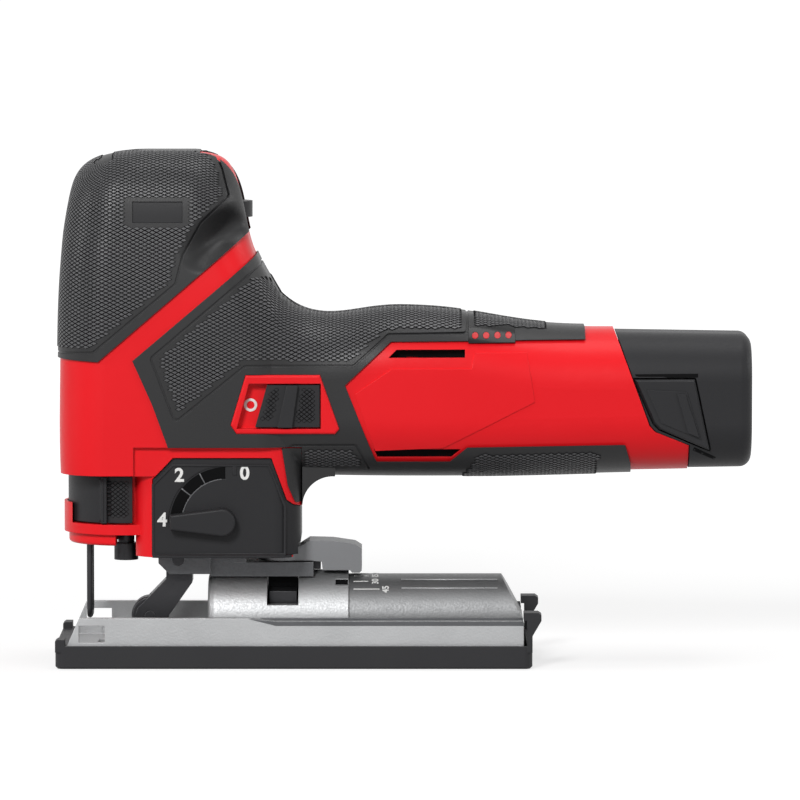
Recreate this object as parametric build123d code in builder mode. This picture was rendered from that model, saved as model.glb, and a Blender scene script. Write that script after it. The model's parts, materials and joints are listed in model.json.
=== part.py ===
from build123d import *
import os
from math import sqrt

os.makedirs("parts", exist_ok=True)

# Compact barrel-grip jigsaw. X runs from the blade end (minus) to the battery (plus),
# minus Y is the user's left, Z is up from the sole. All sizes are in millimetres.

# Body shells
wall = 2.6
skin_gap = 0.1
skin_groove = 0.45
skin_out = 0.9
fit_gap = 0.35

# Head sections: height, front, back, half width. Their steps shrink evenly towards the crown.
head_corner = 17.0
head_sections = [
    (69.4, -124.8, -36.2, 27.8),
    (86.0, -125.1, -36.0, 28.2),
    (103.0, -124.9, -36.4, 28.4),
    (120.0, -124.6, -39.6, 28.4),
    (137.0, -124.0, -47.8, 28.0),
    (152.0, -122.9, -55.4, 26.8),
    (164.0, -121.3, -58.2, 25.6),
    (173.0, -119.2, -60.2, 23.6),
    (179.4, -115.6, -62.4, 20.0),
    (183.4, -108.0, -66.0, 14.6),
    (185.4, -94.5, -73.0, 7.6),
]

# Barrel sections: position, bottom, top, half width
barrel_corner = 21.0
barrel_sections = [
    (-66.0, 71.2, 149.0, 26.2),
    (-52.0, 70.2, 141.6, 27.0),
    (-39.0, 69.4, 128.6, 27.7),
    (-27.0, 69.1, 125.8, 27.8),
    (-13.0, 68.9, 127.4, 27.8),
    (4.0, 68.8, 128.2, 27.7),
    (24.0, 68.8, 126.3, 27.2),
    (46.0, 69.1, 122.8, 26.4),
    (68.0, 69.6, 121.6, 25.7),
    (88.0, 70.0, 121.3, 25.2),
    (108.0, 70.4, 121.0, 24.8),
]

# Drive
motor_z = 98.6
motor_r = 20.0
gear_teeth = 36
pinion_teeth = 10
module = 1.0
gear_x0 = -85.0
gear_thick = 6.0
crank_r = 9.5
crank_pin_r = 2.6
plunger_x = -101.5
plunger_r = 3.0
plunger_top = 140.0
yoke_rise = 3.5
run_gap = 0.05

# Blade clamp
collar_r = 4.4
collar_low = 36.6
collar_high = 42.7

# Nose and release lever
nose_floor_low = 47.5
nose_floor_high = 51.2
lip_r = 22.5
lip_high = 58.5
bumper_r = 20.8
bumper_low = 43.4
core_r = 18.2
core_wall = 2.2
lever_r = 21.0
lever_low = 51.8
lever_high = 68.6

# Gear case and its frame
case_front = -91.0
case_rear = -37.2
case_low = 40.3
case_half = 24.8
case_core_half = 22.6
case_corner = 11.0
frame_half = 26.0
frame_front = -97.7
ledge_z = 79.8
selector_x = -65.8
selector_z = 52.8
selector_shaft_r = 3.5
dial_outer_r = 21.0
dial_inner_r = 16.0

# Bevel base
bevel_z = 15.6
hump_r = 15.7
cradle_r = 17.2
arch_r = 12.4
cradle_front = -71.4
cradle_rear = -20.2
hump_rear_top = 35.3
hump_rear = 43.3
saddle_half = 9.5
saddle_rear = -33.0
clamp_x = -44.1
bolt_r = 3.0

# Roller arm
pivot_x = -82.1
pivot_z = 37.8
pivot_r = 2.3
roller_x = -92.7
roller_z = 16.5
roller_r = 6.8
roller_half = 4.0
arm_half = 6.6
arm_plate = 2.0

# Shoe and cover
cover_floor = 2.0
cover_half = 33.0
cover_front = -126.0
cover_rear = 46.4
cover_high = 8.2
shoe_half = 31.0
shoe_front = -121.7
web_high = 6.0
rail_in = 27.8
rail_front_high = 18.2
rail_rear_high = 17.2
guide_x0 = -117.5
guide_x1 = -108.1
guide_z0 = 9.4
guide_z1 = 15.5

# Switch
switch_face = 29.6
switch_floor = 25.4
switch_travel = 6.0

# Battery
pack_rear = 126.0
pack_z = 95.0
stem_r = 22.0
stem_front = 37.0
cell_r = 9.1
cell_length = 65.0


def head_form(grow):
    with BuildPart() as form:
        for height, front, back, half in head_sections:
            lift = grow if height > 170 else 0
            side = 2 * (half + grow)
            corner = min(head_corner + grow, 0.43 * side)
            with BuildSketch(Plane.XY.offset(height + lift)):
                with Locations(((front + back) / 2, 0)):
                    RectangleRounded(back - front + 2 * grow, side, corner)
        loft()
        with Locations((frame_front + 50, 0, ledge_z - 50)):
            Box(100, 80, 100, mode=Mode.SUBTRACT)
        split(bisect_by=Plane.XZ, keep=Keep.TOP)
    return form.part


def barrel_form(grow):
    with BuildPart() as form:
        for along, low, high, half in barrel_sections:
            with BuildSketch(Plane.YZ.offset(along)):
                with Locations((0, (low + high) / 2)):
                    RectangleRounded(2 * (half + grow), high - low + 2 * grow, barrel_corner + grow)
        loft()
        split(bisect_by=Plane.XZ, keep=Keep.TOP)
    return form.part


def left_body(grow):
    with BuildPart() as form:
        add(head_form(grow))
        add(barrel_form(grow))
    return form.part


def left_prism(points, inner=0.0, outer=45.0):
    with BuildPart() as form:
        with BuildSketch(Plane.XZ.offset(inner)):
            with BuildLine():
                Polyline(*points, close=True)
            make_face()
        extrude(amount=outer - inner)
    return form.part


def left_groove(points, width, close):
    with BuildPart() as form:
        with BuildSketch(Plane.XZ):
            with BuildLine():
                FilletPolyline(*points, radius=1.5, close=close)
            trace(line_width=width)
        extrude(amount=45)
    return form.part


def x_rod(y, z, r, x0, x1):
    with BuildPart() as form:
        with BuildSketch(Plane.YZ.offset(x0)):
            with Locations((y, z)):
                Circle(r)
        extrude(amount=x1 - x0)
    return form.part


def y_rod(x, z, r, y0, y1):
    with BuildPart() as form:
        with BuildSketch(Plane.XZ.offset(-y1)):
            with Locations((x, z)):
                Circle(r)
        extrude(amount=y1 - y0)
    return form.part


def z_rod(x, y, r, z0, z1):
    with BuildPart() as form:
        with BuildSketch(Plane.XY.offset(z0)):
            with Locations((x, y)):
                Circle(r)
        extrude(amount=z1 - z0)
    return form.part


def case_room(low, top):
    with BuildPart() as form:
        with BuildSketch(Plane.XY.offset(low)):
            with Locations(((case_front + case_rear) / 2 + 0.4, 0)):
                RectangleRounded(case_rear - case_front - 3.6, 2 * case_core_half, case_corner - 3)
        extrude(amount=top - low)
    return form.part


def slab(low_corner, high_corner):
    size = [b - a for a, b in zip(low_corner, high_corner)]
    with BuildPart() as form:
        with Locations(low_corner):
            Box(*size, align=(Align.MIN, Align.MIN, Align.MIN))
    return form.part


def gear_blank(teeth, thick):
    pitch_r = module * teeth / 2
    foot = pitch_r - 1.35 * module
    tip = pitch_r + 0.9 * module
    with BuildSketch(Plane.YZ) as tooth:
        with BuildLine():
            Polyline(
                (foot, -0.95 * module),
                (pitch_r, -0.66 * module),
                (tip, -0.3 * module),
                (tip, 0.3 * module),
                (pitch_r, 0.66 * module),
                (foot, 0.95 * module),
                close=True,
            )
        make_face()
    with BuildPart() as form:
        with BuildSketch(Plane.YZ):
            Circle(pitch_r - 1.25 * module)
            with PolarLocations(0, teeth):
                add(tooth.sketch_local)
        extrude(amount=thick)
    return form.part


body_outer = left_body(0)
body_inner = left_body(-wall)
skin_floor = left_body(skin_gap)
groove_floor = left_body(skin_groove)
with BuildPart() as skin_zone:
    add(left_body(skin_out))
    add(skin_floor, mode=Mode.SUBTRACT)

# Outlines on the side of the body, as (x, z)
head_grip_edge = [(-130, 111.9), (-110.4, 110.8), (-55.7, 157.5), (-40, 170.9), (-40, 200), (-130, 200)]
barrel_grip_edge = [
    (-97.9, 111.2),
    (-90.8, 95.3),
    (-85.2, ledge_z),
    (-46.5, ledge_z),
    (-38.2, 59.2),
    (-37.0, 50.0),
    (84.0, 50.0),
    (82.1, 73.1),
    (79.9, 80.4),
    (22.8, 79.6),
    (16.6, 74.2),
    (-9.9, 74.2),
    (-11.0, 76.4),
    (-21.3, 102.4),
    (-4.7, 118.0),
    (65.6, 118.3),
    (65.6, 140.0),
    (-35.0, 164.5),
]
head_groove = [
    (-71.0, 192.0),
    (-65.7, 179.7),
    (-63.2, 170.6),
    (-73.4, 160.9),
    (-79.6, 149.6),
    (-82.3, 139.0),
    (-112.1, 114.2),
    (-130.0, 113.4),
]
texture_edge = [
    (-91.3, 112.2),
    (-82.6, 89.0),
    (-57.4, 109.4),
    (-18.2, 109.4),
    (-5.6, 120.6),
    (22.9, 120.9),
    (22.9, 140.0),
    (-46.0, 150.6),
]
low_pad_edge = [(-38.8, 71.4), (-42.0, 80.6), (-17.3, 80.7), (-12.6, 71.4)]
bezel_edge = [(-57.2, 106.2), (-30.3, 106.2), (-23.3, 86.6), (-24.9, 84.8), (-60.4, 84.8), (-62.6, 88.0)]
window_edge = [(-55.9, 103.1), (-30.0, 103.1), (-30.0, 86.7), (-60.4, 86.7)]
case_window = [
    (case_front, case_low),
    (case_front, 68.1),
    (-83.5, 75.9),
    (-47.9, 75.9),
    (-42.4, 60.7),
    (-40.1, 58.9),
    (case_rear, 58.0),
    (case_rear, case_low),
]
collar_edge = [(75.9, 140), (75.9, 122.4), (88.7, 87.4), (90.7, 85.2), (103.0, 80.2), (103.0, 50)]
gauge_edge = [(23.2, 117.4), (40.2, 117.4), (40.2, 122.8), (23.2, 122.8)]
upper_vent = [(-5.6, 112.2), (-2.7, 115.1), (22.0, 115.1), (22.0, 112.2)]
lower_vent = [(-10.9, 79.0), (20.6, 79.0), (17.2, 76.0), (-9.6, 76.0)]
badge_edge = [(-97.8, 160.9), (-79.8, 160.9), (-79.8, 168.5), (-97.8, 168.5)]
rear_cut = collar_edge + [(140, 50), (140, 140)]

# Screws that close the shells: x, z, depth of the head from the middle plane
shell_screws = [
    (-113.0, 84.0, 14.0),
    (-113.0, 130.0, 14.0),
    (-80.0, 174.0, 12.0),
    (-18.0, 121.8, 9.0),
    (27.0, 118.8, 9.0),
    (20.0, 75.0, 9.0),
    (-33.0, 73.6, 9.0),
]
shell_screw_r = 1.4
shell_boss_r = 3.0

# Bare badge plate, sunk in a window of the head grip
with BuildPart() as left_badge:
    add(left_prism(badge_edge))
    add(groove_floor, mode=Mode.INTERSECT)
    add(skin_floor, mode=Mode.SUBTRACT)

# Left head grip
with BuildPart() as head_grip_blank:
    add(skin_zone.part)
    add(left_prism(head_grip_edge), mode=Mode.INTERSECT)
    spine = slab((-74, -11.0, 156), (-40, 1, 190))
    add([spine, left_prism(badge_edge)], mode=Mode.SUBTRACT)

with BuildPart() as left_head_grip:
    add(head_grip_blank.part)
    groove = left_groove(head_groove, 0.8, False)
    add(groove - groove_floor, mode=Mode.SUBTRACT)

# Wedge of rubber behind the gear case
with BuildPart() as heel:
    with BuildSketch(Plane.XZ):
        with BuildLine():
            wedge_front = case_rear + 0.3
            Polyline((-25.0, 68.6), (-25.0, 76.0), (wedge_front, 76.0), (wedge_front, 58.2))
            ThreePointArc((wedge_front, 58.2), (-33.2, 65.8), (-25.0, 68.6))
        make_face()
    extrude(amount=19)
    add(skin_floor, mode=Mode.SUBTRACT)

# Left barrel grip
with BuildPart() as barrel_grip_blank:
    add(skin_zone.part)
    add(left_prism(barrel_grip_edge), mode=Mode.INTERSECT)
    frame_room = slab((frame_front, -frame_half, 40), (case_rear + 0.3, 1, ledge_z))
    add([frame_room, left_prism(bezel_edge), left_prism(gauge_edge)], mode=Mode.SUBTRACT)
    add(heel.part)

with BuildPart() as left_barrel_grip:
    add(barrel_grip_blank.part)
    groove = left_groove(texture_edge, 0.8, True)
    low_groove = left_groove(low_pad_edge, 0.8, False)
    add([groove - groove_floor, low_groove - groove_floor], mode=Mode.SUBTRACT)

# Frame of the left shell around the gear case
frame_low = 39.8
frame_high = 83.8


def frame_column(low, high):
    with BuildPart() as form:
        with BuildSketch(Plane.XY.offset(low)):
            with BuildLine():
                FilletPolyline(
                    (frame_front, 0),
                    (frame_front, -frame_half),
                    (case_rear + 0.3, -frame_half),
                    (case_rear + 0.3, 0),
                    radius=case_corner,
                )
                Line((case_rear + 0.3, 0), (frame_front, 0))
            make_face()
        extrude(amount=high - low)
    return form.part


with BuildPart() as left_frame:
    add(frame_column(ledge_z, frame_high))
    add(body_outer, mode=Mode.INTERSECT)
    add(frame_column(frame_low, ledge_z))
    add(slab((frame_front, -frame_half, 69.2), (case_front + 4, -18.2, ledge_z)))
    add(case_room(30, 120), mode=Mode.SUBTRACT)
    add(left_prism(case_window, -1), mode=Mode.SUBTRACT)
    add(slab((case_rear - 3, -40, 30), (0, 1, 58)), mode=Mode.SUBTRACT)
    add(slab((frame_front - 1, -18, 30), (case_front + 2.5, 1, 90)), mode=Mode.SUBTRACT)
    add(x_rod(0, motor_z, motor_r, -60, 0), mode=Mode.SUBTRACT)
    add(slab((gear_x0 - 3.8, -21.7, 69.5), (-70, 1, 90)), mode=Mode.SUBTRACT)
    add(slab((frame_front - 1, -40, 30), (frame_front + 1, -25, 69)), mode=Mode.SUBTRACT)

# Nose tray that carries the release lever, the wire guard and the lower plunger bush
plunger_axis = Plane((plunger_x, 0, 0))
guard_x = -114.6
guard_half = 6.0
guard_r = 1.05
with BuildPart() as nose_tray:
    with BuildSketch(plunger_axis.offset(nose_floor_low)):
        Circle(lip_r)
    extrude(amount=nose_floor_high - nose_floor_low)
    with BuildSketch(plunger_axis.offset(bumper_low)):
        Circle(bumper_r)
    extrude(amount=nose_floor_low - bumper_low)
    fillet(edges().group_by(Axis.Z)[0], 1.2)
    add(slab((-104.5, -40, 40), (-60, 40, nose_floor_low)), mode=Mode.SUBTRACT)
    with BuildSketch(plunger_axis.offset(nose_floor_high)):
        Circle(lip_r)
        Circle(lip_r - 1.1, mode=Mode.SUBTRACT)
        with Locations((20, 0)):
            Rectangle(78, 80, mode=Mode.SUBTRACT)
    extrude(amount=lip_high - nose_floor_high)
    with BuildSketch(plunger_axis.offset(nose_floor_high)):
        Circle(core_r)
        Circle(core_r - core_wall, mode=Mode.SUBTRACT)
    extrude(amount=72.0 - nose_floor_high)
    with BuildSketch(plunger_axis.offset(53.0)):
        Circle(core_r - 0.5)
    extrude(amount=6.0)
    add(z_rod(plunger_x, 0, plunger_r + 3.0, 52, 60), mode=Mode.SUBTRACT)
    add(z_rod(plunger_x, 0, collar_r + 1.0, 40, 52), mode=Mode.SUBTRACT)
    add(z_rod(guard_x, -guard_half, guard_r, 40, 46.5), mode=Mode.SUBTRACT)
    add(slab((-97.2, -18.0, 52), (-60, 18.0, 80)), mode=Mode.SUBTRACT)
    add(slab((-95.0, -18.0, 40), (-60, 18.0, 80)), mode=Mode.SUBTRACT)
    add(slab((case_front, -40, 40), (-60, 40, 80)), mode=Mode.SUBTRACT)
    split(bisect_by=Plane.XZ, keep=Keep.TOP)

# Ribs that hold the motor, its rear bearing and the upper plunger bush
bush_low = 112.0
bush_high = 120.0
bearing_r = 7.0
with BuildPart() as left_ribs:
    for start in (-52.0, -14.0, 1.0):
        add(slab((start, -40, 60), (start + 4, 0, 150)))
    add(slab((-130, -40, bush_low), (-92, 0, bush_high)))
    add(body_inner, mode=Mode.INTERSECT)
    add(x_rod(0, motor_z, motor_r, -60, 0.5), mode=Mode.SUBTRACT)
    add(x_rod(0, motor_z, bearing_r, -60, 20), mode=Mode.SUBTRACT)
    add(z_rod(plunger_x, 0, plunger_r + 3.0, 100, 130), mode=Mode.SUBTRACT)
    add(slab((-70, -40, 92.2), (40, -21.4, 97.8)), mode=Mode.SUBTRACT)

with BuildPart() as left_bosses:
    for along, height, head_y in shell_screws:
        add(y_rod(along, height, shell_boss_r, -40, 0))
    add(body_inner, mode=Mode.INTERSECT)

# Left shell
with BuildPart() as left_screw_holes:
    for along, height, head_y in shell_screws:
        add(y_rod(along, height, shell_screw_r, -7, 1))

with BuildPart() as left_shell:
    add(body_outer)
    add(body_inner, mode=Mode.SUBTRACT)
    add([left_ribs.part, left_bosses.part])
    cutters = [
        left_prism(rear_cut, -1.0),
        left_prism(bezel_edge),
        left_prism(upper_vent),
        left_prism(lower_vent),
        slab((-78, -10.4, 161.4), (-50, 1, 168.4)),
    ]
    add(cutters, mode=Mode.SUBTRACT)
    add([left_frame.part, nose_tray.part])
    add([case_room(30, 76.0), left_screw_holes.part], mode=Mode.SUBTRACT)

# Right shell, with the screw heads sunk into it
screw_head_r = 2.6
with BuildPart() as right_screw_holes:
    for along, height, head_y in shell_screws:
        add(y_rod(along, height, shell_screw_r, -1, 40))
        add(y_rod(along, height, screw_head_r + 0.2, head_y, 45))

with BuildPart() as right_shell:
    mirror(left_shell.part, about=Plane.XZ)
    add(right_screw_holes.part, mode=Mode.SUBTRACT)

with BuildPart() as right_head_grip:
    mirror(left_head_grip.part, about=Plane.XZ)
    add(right_screw_holes.part, mode=Mode.SUBTRACT)

with BuildPart() as right_barrel_grip:
    mirror(left_barrel_grip.part, about=Plane.XZ)
    add(right_screw_holes.part, mode=Mode.SUBTRACT)

with BuildPart() as shell_screw_set:
    for along, height, head_y in shell_screws:
        add(y_rod(along, height, shell_screw_r, -6.5, head_y))
        add(y_rod(along, height, screw_head_r, head_y, head_y + 2.2))

# Badge plates, one on each side of the head
with BuildPart() as badge_plates:
    add(left_badge.part)
    mirror(about=Plane.XZ)

# Charge gauge strip with its lights, on the left shoulder only
light_x = [25.7, 29.7, 33.8, 37.8]
light_z = 120.0
with BuildPart() as gauge_blank:
    add(skin_zone.part)
    add(left_prism(gauge_edge, 8), mode=Mode.INTERSECT)

with BuildPart() as light_rods:
    for along in light_x:
        add(y_rod(along, light_z, 1.15, -40, -8))

with BuildPart() as gauge_strip:
    add(gauge_blank.part)
    add(light_rods.part, mode=Mode.SUBTRACT)

with BuildPart() as gauge_lights:
    add(gauge_blank.part)
    add(light_rods.part, mode=Mode.INTERSECT)

# Blank strip on the right shoulder, where the left one has the gauge
with BuildPart() as gauge_filler:
    mirror(gauge_blank.part, about=Plane.XZ)

# Switch bezels, sliders and the link that joins the sliders
with BuildPart() as left_bezel:
    add(left_prism(bezel_edge, 24.2, switch_face))
    fillet(edges().group_by(Axis.Y)[0], 0.9)
    add(left_prism(window_edge, switch_floor, 45), mode=Mode.SUBTRACT)
    add(slab((-50.0, -30, 93.0), (-38.4, -20, 97.0)), mode=Mode.SUBTRACT)

with BuildPart() as right_bezel:
    mirror(left_bezel.part, about=Plane.XZ)

slider_edge = [(-49.4, 102.5), (-30.4, 102.5), (-30.4, 87.3), (-53.7, 87.3)]
ridge_edge = [(-42.2, 102.5), (-38.3, 102.5), (-40.4, 87.3), (-45.5, 87.3)]
slider_low = switch_floor + 0.3
link_out = 23.9
with BuildPart() as left_slider:
    add(left_prism(slider_edge, slider_low, 28.7))
    add(left_prism(ridge_edge, 28.7, 30.8))
    add(slab((-43.5, -slider_low, 93.4), (-40.5, -link_out, 96.6)))

with BuildPart() as right_slider:
    mirror(left_slider.part, about=Plane.XZ)

with BuildPart() as switch_link:
    add(slab((-46, -link_out, 93.4), (20, -22.3, 96.6)))
    add(slab((-46, 22.3, 93.4), (20, link_out, 96.6)))
    add(slab((17, -link_out, 93.4), (20, link_out, 96.6)))
    add(slab((20, -3, 93.4), (23.6, 3, 96.6)))

# Electrical pieces
with BuildPart() as terminal_block:
    add(slab((31, -40, 60), (35, 0, 130)))
    add(body_inner, mode=Mode.INTERSECT)
    mirror(about=Plane.XZ)

with BuildPart() as switch_block:
    add(slab((24, -8, 88), (31, 8, 104)))

with BuildPart() as control_board:
    add(slab((6.5, -40, 109.3), (30.5, 0, 110.9)))
    add(body_inner, mode=Mode.INTERSECT)
    mirror(about=Plane.XZ)

# Speed dial and the control it turns
dial_x = -65.1
dial_r = 10.0
with BuildPart() as speed_control:
    add(slab((-74, -40, 150.5), (-48, 0, 157)))
    add(body_inner, mode=Mode.INTERSECT)
    mirror(about=Plane.XZ)
    add(z_rod(dial_x, 0, 2 + run_gap, 152, 160), mode=Mode.SUBTRACT)

with BuildPart() as speed_dial:
    add(z_rod(dial_x, 0, dial_r, 162.0, 167.8))
    add(z_rod(dial_x, 0, 2, 152.6, 170.5))

# Motor
with BuildPart() as motor_stator:
    add(x_rod(0, motor_z, motor_r, -58, 0))
    add(x_rod(0, motor_z, 12.6, -60, 2), mode=Mode.SUBTRACT)

shaft_r = 2.5
gear_x1 = gear_x0 + gear_thick
with BuildPart() as motor_rotor:
    add(x_rod(0, motor_z, 12, -52, -6))
    add(x_rod(0, motor_z, shaft_r, gear_x0 - 0.5, 5.0))

with BuildPart() as motor_fan:
    add(x_rod(0, motor_z, 17, -61.2, -60))
    add(x_rod(0, motor_z, 5, -66, -60))
    with BuildSketch(Plane.YZ.offset(-66)):
        with Locations((0, motor_z)):
            with PolarLocations(0, 9):
                with Locations((10.5, 0)):
                    Rectangle(12, 0.9)
    extrude(amount=5)
    add(x_rod(0, motor_z, shaft_r, -70, -50), mode=Mode.SUBTRACT)

with BuildPart() as drive_pinion:
    add(gear_blank(pinion_teeth, gear_thick).moved(Location((gear_x0, 0, motor_z))))
    add(x_rod(0, motor_z, shaft_r, -100, -70), mode=Mode.SUBTRACT)

case_wall_x0 = gear_x1 + 0.5
case_wall_x1 = case_wall_x0 + 3.5
with BuildPart() as motor_bearings:
    add(x_rod(0, motor_z, 5.5, case_wall_x0, case_wall_x1))
    add(x_rod(0, motor_z, bearing_r, 1.0, 5.0))
    add(x_rod(0, motor_z, shaft_r + run_gap, -90, 10), mode=Mode.SUBTRACT)

# Reduction gear with crank pin, on its axle
gear_z = motor_z - module * (gear_teeth + pinion_teeth) / 2
crank_y = sqrt(crank_r ** 2 - yoke_rise ** 2)
axle_r = 3.0
with BuildPart() as drive_gear:
    add(gear_blank(gear_teeth, gear_thick).moved(Location((gear_x0, 0, gear_z))))
    add(x_rod(0, gear_z, axle_r + run_gap, -100, -70), mode=Mode.SUBTRACT)
    add(x_rod(crank_y, gear_z + yoke_rise, crank_pin_r, -100, gear_x0 + 4), mode=Mode.SUBTRACT)

yoke_rear = -93.5
with BuildPart() as crank_pin:
    add(x_rod(crank_y, gear_z + yoke_rise, crank_pin_r, yoke_rear + 0.4, gear_x0 + 4))

with BuildPart() as gear_axle:
    add(x_rod(0, gear_z, axle_r, gear_x0 - 0.4, case_wall_x1))

# Plunger with its yoke, blade clamp collar and bushes
yoke_z = gear_z + yoke_rise
with BuildPart() as plunger:
    add(z_rod(plunger_x, 0, plunger_r, collar_low + 1.4, plunger_top))
    add(slab((-96.8, -13.4, yoke_z - 6), (yoke_rear, 13.4, yoke_z + 6)))
    add(slab((-97, -12.5, yoke_z - 2.9), (yoke_rear + 1, 12.5, yoke_z + 2.9)), mode=Mode.SUBTRACT)
    add(slab((plunger_x, -2.5, yoke_z - 6), (-96.8, 2.5, yoke_z + 6)))
    add(slab((plunger_x - 5, -0.9, 30), (plunger_x + 5, 0.9, collar_high)), mode=Mode.SUBTRACT)

with BuildPart() as clamp_collar:
    add(z_rod(plunger_x, 0, collar_r, collar_low, collar_high))
    add(z_rod(plunger_x, 0, plunger_r + run_gap, collar_low + 1.0, 60), mode=Mode.SUBTRACT)
    add(slab((plunger_x - 3.8, -0.95, 30), (plunger_x + 3.8, 0.95, collar_low + 2)), mode=Mode.SUBTRACT)

with BuildPart() as plunger_bushes:
    add(z_rod(plunger_x, 0, plunger_r + 3.0, 53.0, 59.0))
    add(z_rod(plunger_x, 0, plunger_r + 3.0, bush_low, bush_high))
    add(z_rod(plunger_x, 0, plunger_r + run_gap, 40, 130), mode=Mode.SUBTRACT)

# Release lever, a curved sleeve that turns about the plunger
with BuildPart() as release_lever:
    with BuildSketch(plunger_axis.offset(lever_low)):
        Circle(lever_r)
        Circle(core_r + 0.4, mode=Mode.SUBTRACT)
        with BuildLine():
            Polyline((0, 0), (-30, 30), (30, 30), (30, -30), (3.1, -30), (3.1, 0), close=True)
        make_face(mode=Mode.SUBTRACT)
    extrude(amount=lever_high - lever_low)
    with BuildSketch(plunger_axis.offset(lever_low)):
        with Locations((-7.2, -20.4)):
            Rectangle(2.0, 3.0)
    extrude(amount=lever_high - lever_low)

with BuildPart() as wire_guard:
    with BuildLine():
        FilletPolyline(
            (guard_x, -guard_half, 46.5),
            (guard_x, -guard_half, 16.6),
            (guard_x, guard_half, 16.6),
            (guard_x, guard_half, 46.5),
            radius=2.5,
        )
    with BuildSketch(Plane((guard_x, -guard_half, 46.5))):
        Circle(guard_r)
    sweep()

# Gear case: a core inside the frame, a raised panel in each side window, and a gear housing above
with BuildPart() as case_panel:
    with BuildSketch(Plane.XY.offset(case_low)):
        with Locations(((case_front + case_rear) / 2, 0)):
            RectangleRounded(case_rear - case_front, 2 * case_half, case_corner - 1)
        with Locations((case_front, 0)):
            Rectangle(20, 2 * case_half, align=(Align.MIN, Align.CENTER))
    extrude(amount=40)
    with BuildSketch(Plane.XZ.offset(-45)):
        with BuildLine():
            Polyline(*case_window, close=True)
        make_face()
        offset(amount=-0.25, mode=Mode.REPLACE)
    extrude(amount=90, mode=Mode.INTERSECT)

gear_tip_r = module * gear_teeth / 2 + 0.9 * module
pinion_tip_r = module * pinion_teeth / 2 + 0.9 * module
selector_face = case_half + 0.3
with BuildPart() as gear_case:
    add(case_room(case_low, 75.4))
    add(case_panel.part)
    add(slab((gear_x0 - 3.6, -21.5, 70), (case_wall_x1, 21.5, motor_z + 8)))
    gear_rooms = [
        x_rod(0, gear_z, gear_tip_r + 0.7, gear_x0 - 1, case_wall_x0),
        x_rod(0, gear_z, crank_r + crank_pin_r + 0.8, -100, gear_x0),
        x_rod(0, motor_z, pinion_tip_r + 0.8, gear_x0 - 1, case_wall_x0),
        x_rod(0, motor_z, 5.5, gear_x0, case_wall_x1 + 1),
        x_rod(0, gear_z, axle_r, gear_x0, case_wall_x1 + 1),
        y_rod(selector_x, selector_z, selector_shaft_r + run_gap, -30, -11.5),
        slab((-57, -19.5, 35), (-30, 19.5, 44.7)),
        slab((pivot_x - 7, -7.2, 35), (pivot_x + 6.2, 7.2, 43.4)),
    ]
    add(gear_rooms, mode=Mode.SUBTRACT)
    with BuildSketch(Plane.XZ.offset(case_half - 0.4)):
        with Locations((selector_x + 1.5, selector_z - 0.7)):
            Circle(dial_outer_r)
            Circle(dial_inner_r, mode=Mode.SUBTRACT)
            Rectangle(60, 60, align=(Align.MIN, Align.CENTER), mode=Mode.SUBTRACT)
            Rectangle(60, 60, align=(Align.CENTER, Align.MAX), mode=Mode.SUBTRACT)
    extrude(amount=3, mode=Mode.SUBTRACT)
    bracket_screw_at = [(-75.2, -9.9), (-75.2, 9.9), (-63.0, 0.0)]
    bracket_screw_r = 1.6
    add([z_rod(x, y, bracket_screw_r, 30, 48) for x, y in bracket_screw_at], mode=Mode.SUBTRACT)

# Orbit selector: pointer knob on a cross shaft
with BuildPart() as orbit_selector:
    with BuildSketch(Plane.XZ.offset(selector_face)):
        with Locations((selector_x, selector_z)):
            Circle(5.0)
        with BuildLine():
            Polyline(
                (selector_x, selector_z + 5.0),
                (selector_x - 18.7, selector_z + 2.7),
                (selector_x - 18.7, selector_z - 2.7),
                (selector_x, selector_z - 5.0),
                close=True,
            )
        make_face()
    extrude(amount=5.4)
    fillet(edges().group_by(Axis.Y)[0], 0.8)
    add(y_rod(selector_x, selector_z, selector_shaft_r, -selector_face, -12.0))

# Bracket under the gear case: ears for the roller arm, and the saddle that sits on the shoe
with BuildPart() as bracket:
    with BuildSketch(Plane.XZ.offset(-13)):
        with BuildLine():
            Polyline(
                (-89.3, case_low), (-89.3, 36.4), (-85.3, 32.4), (-70.4, 32.4), (-70.4, case_low), close=True
            )
        make_face()
    extrude(amount=26)
    add(slab((-70.4, -saddle_half, 31.2), (-57.5, saddle_half, case_low)))
    add(slab((-70.4, -11, 36.4), (-57.5, 11, 38.2)))
    add(slab((-57.5, -saddle_half, 31.2), (saddle_rear, saddle_half, 36.4)))
    bracket_cuts = [
        x_rod(0, bevel_z, cradle_r + fit_gap, -72, 0),
        slab((-95, -arm_half - 0.35, 25), (pivot_x + 6.2, arm_half + 0.35, 45)),
        y_rod(pivot_x, pivot_z, pivot_r, -20, 20),
        z_rod(clamp_x, 0, bolt_r, 20, 50),
    ]
    add(bracket_cuts, mode=Mode.SUBTRACT)
    add([z_rod(x, y, bracket_screw_r, 25, 48) for x, y in bracket_screw_at], mode=Mode.SUBTRACT)
    add([z_rod(x, y, 2.9, 20, 34.4) for x, y in bracket_screw_at], mode=Mode.SUBTRACT)

with BuildPart() as bracket_screw_set:
    for x, y in bracket_screw_at:
        add(z_rod(x, y, bracket_screw_r, 34.4, 47.5))
        add(z_rod(x, y, 2.7, 33.4, 34.4))

# Roller arm, its pivot pin, roller pin and blade roller
with BuildPart() as pivot_pin:
    add(y_rod(pivot_x, pivot_z, pivot_r, -13, 13))

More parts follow.
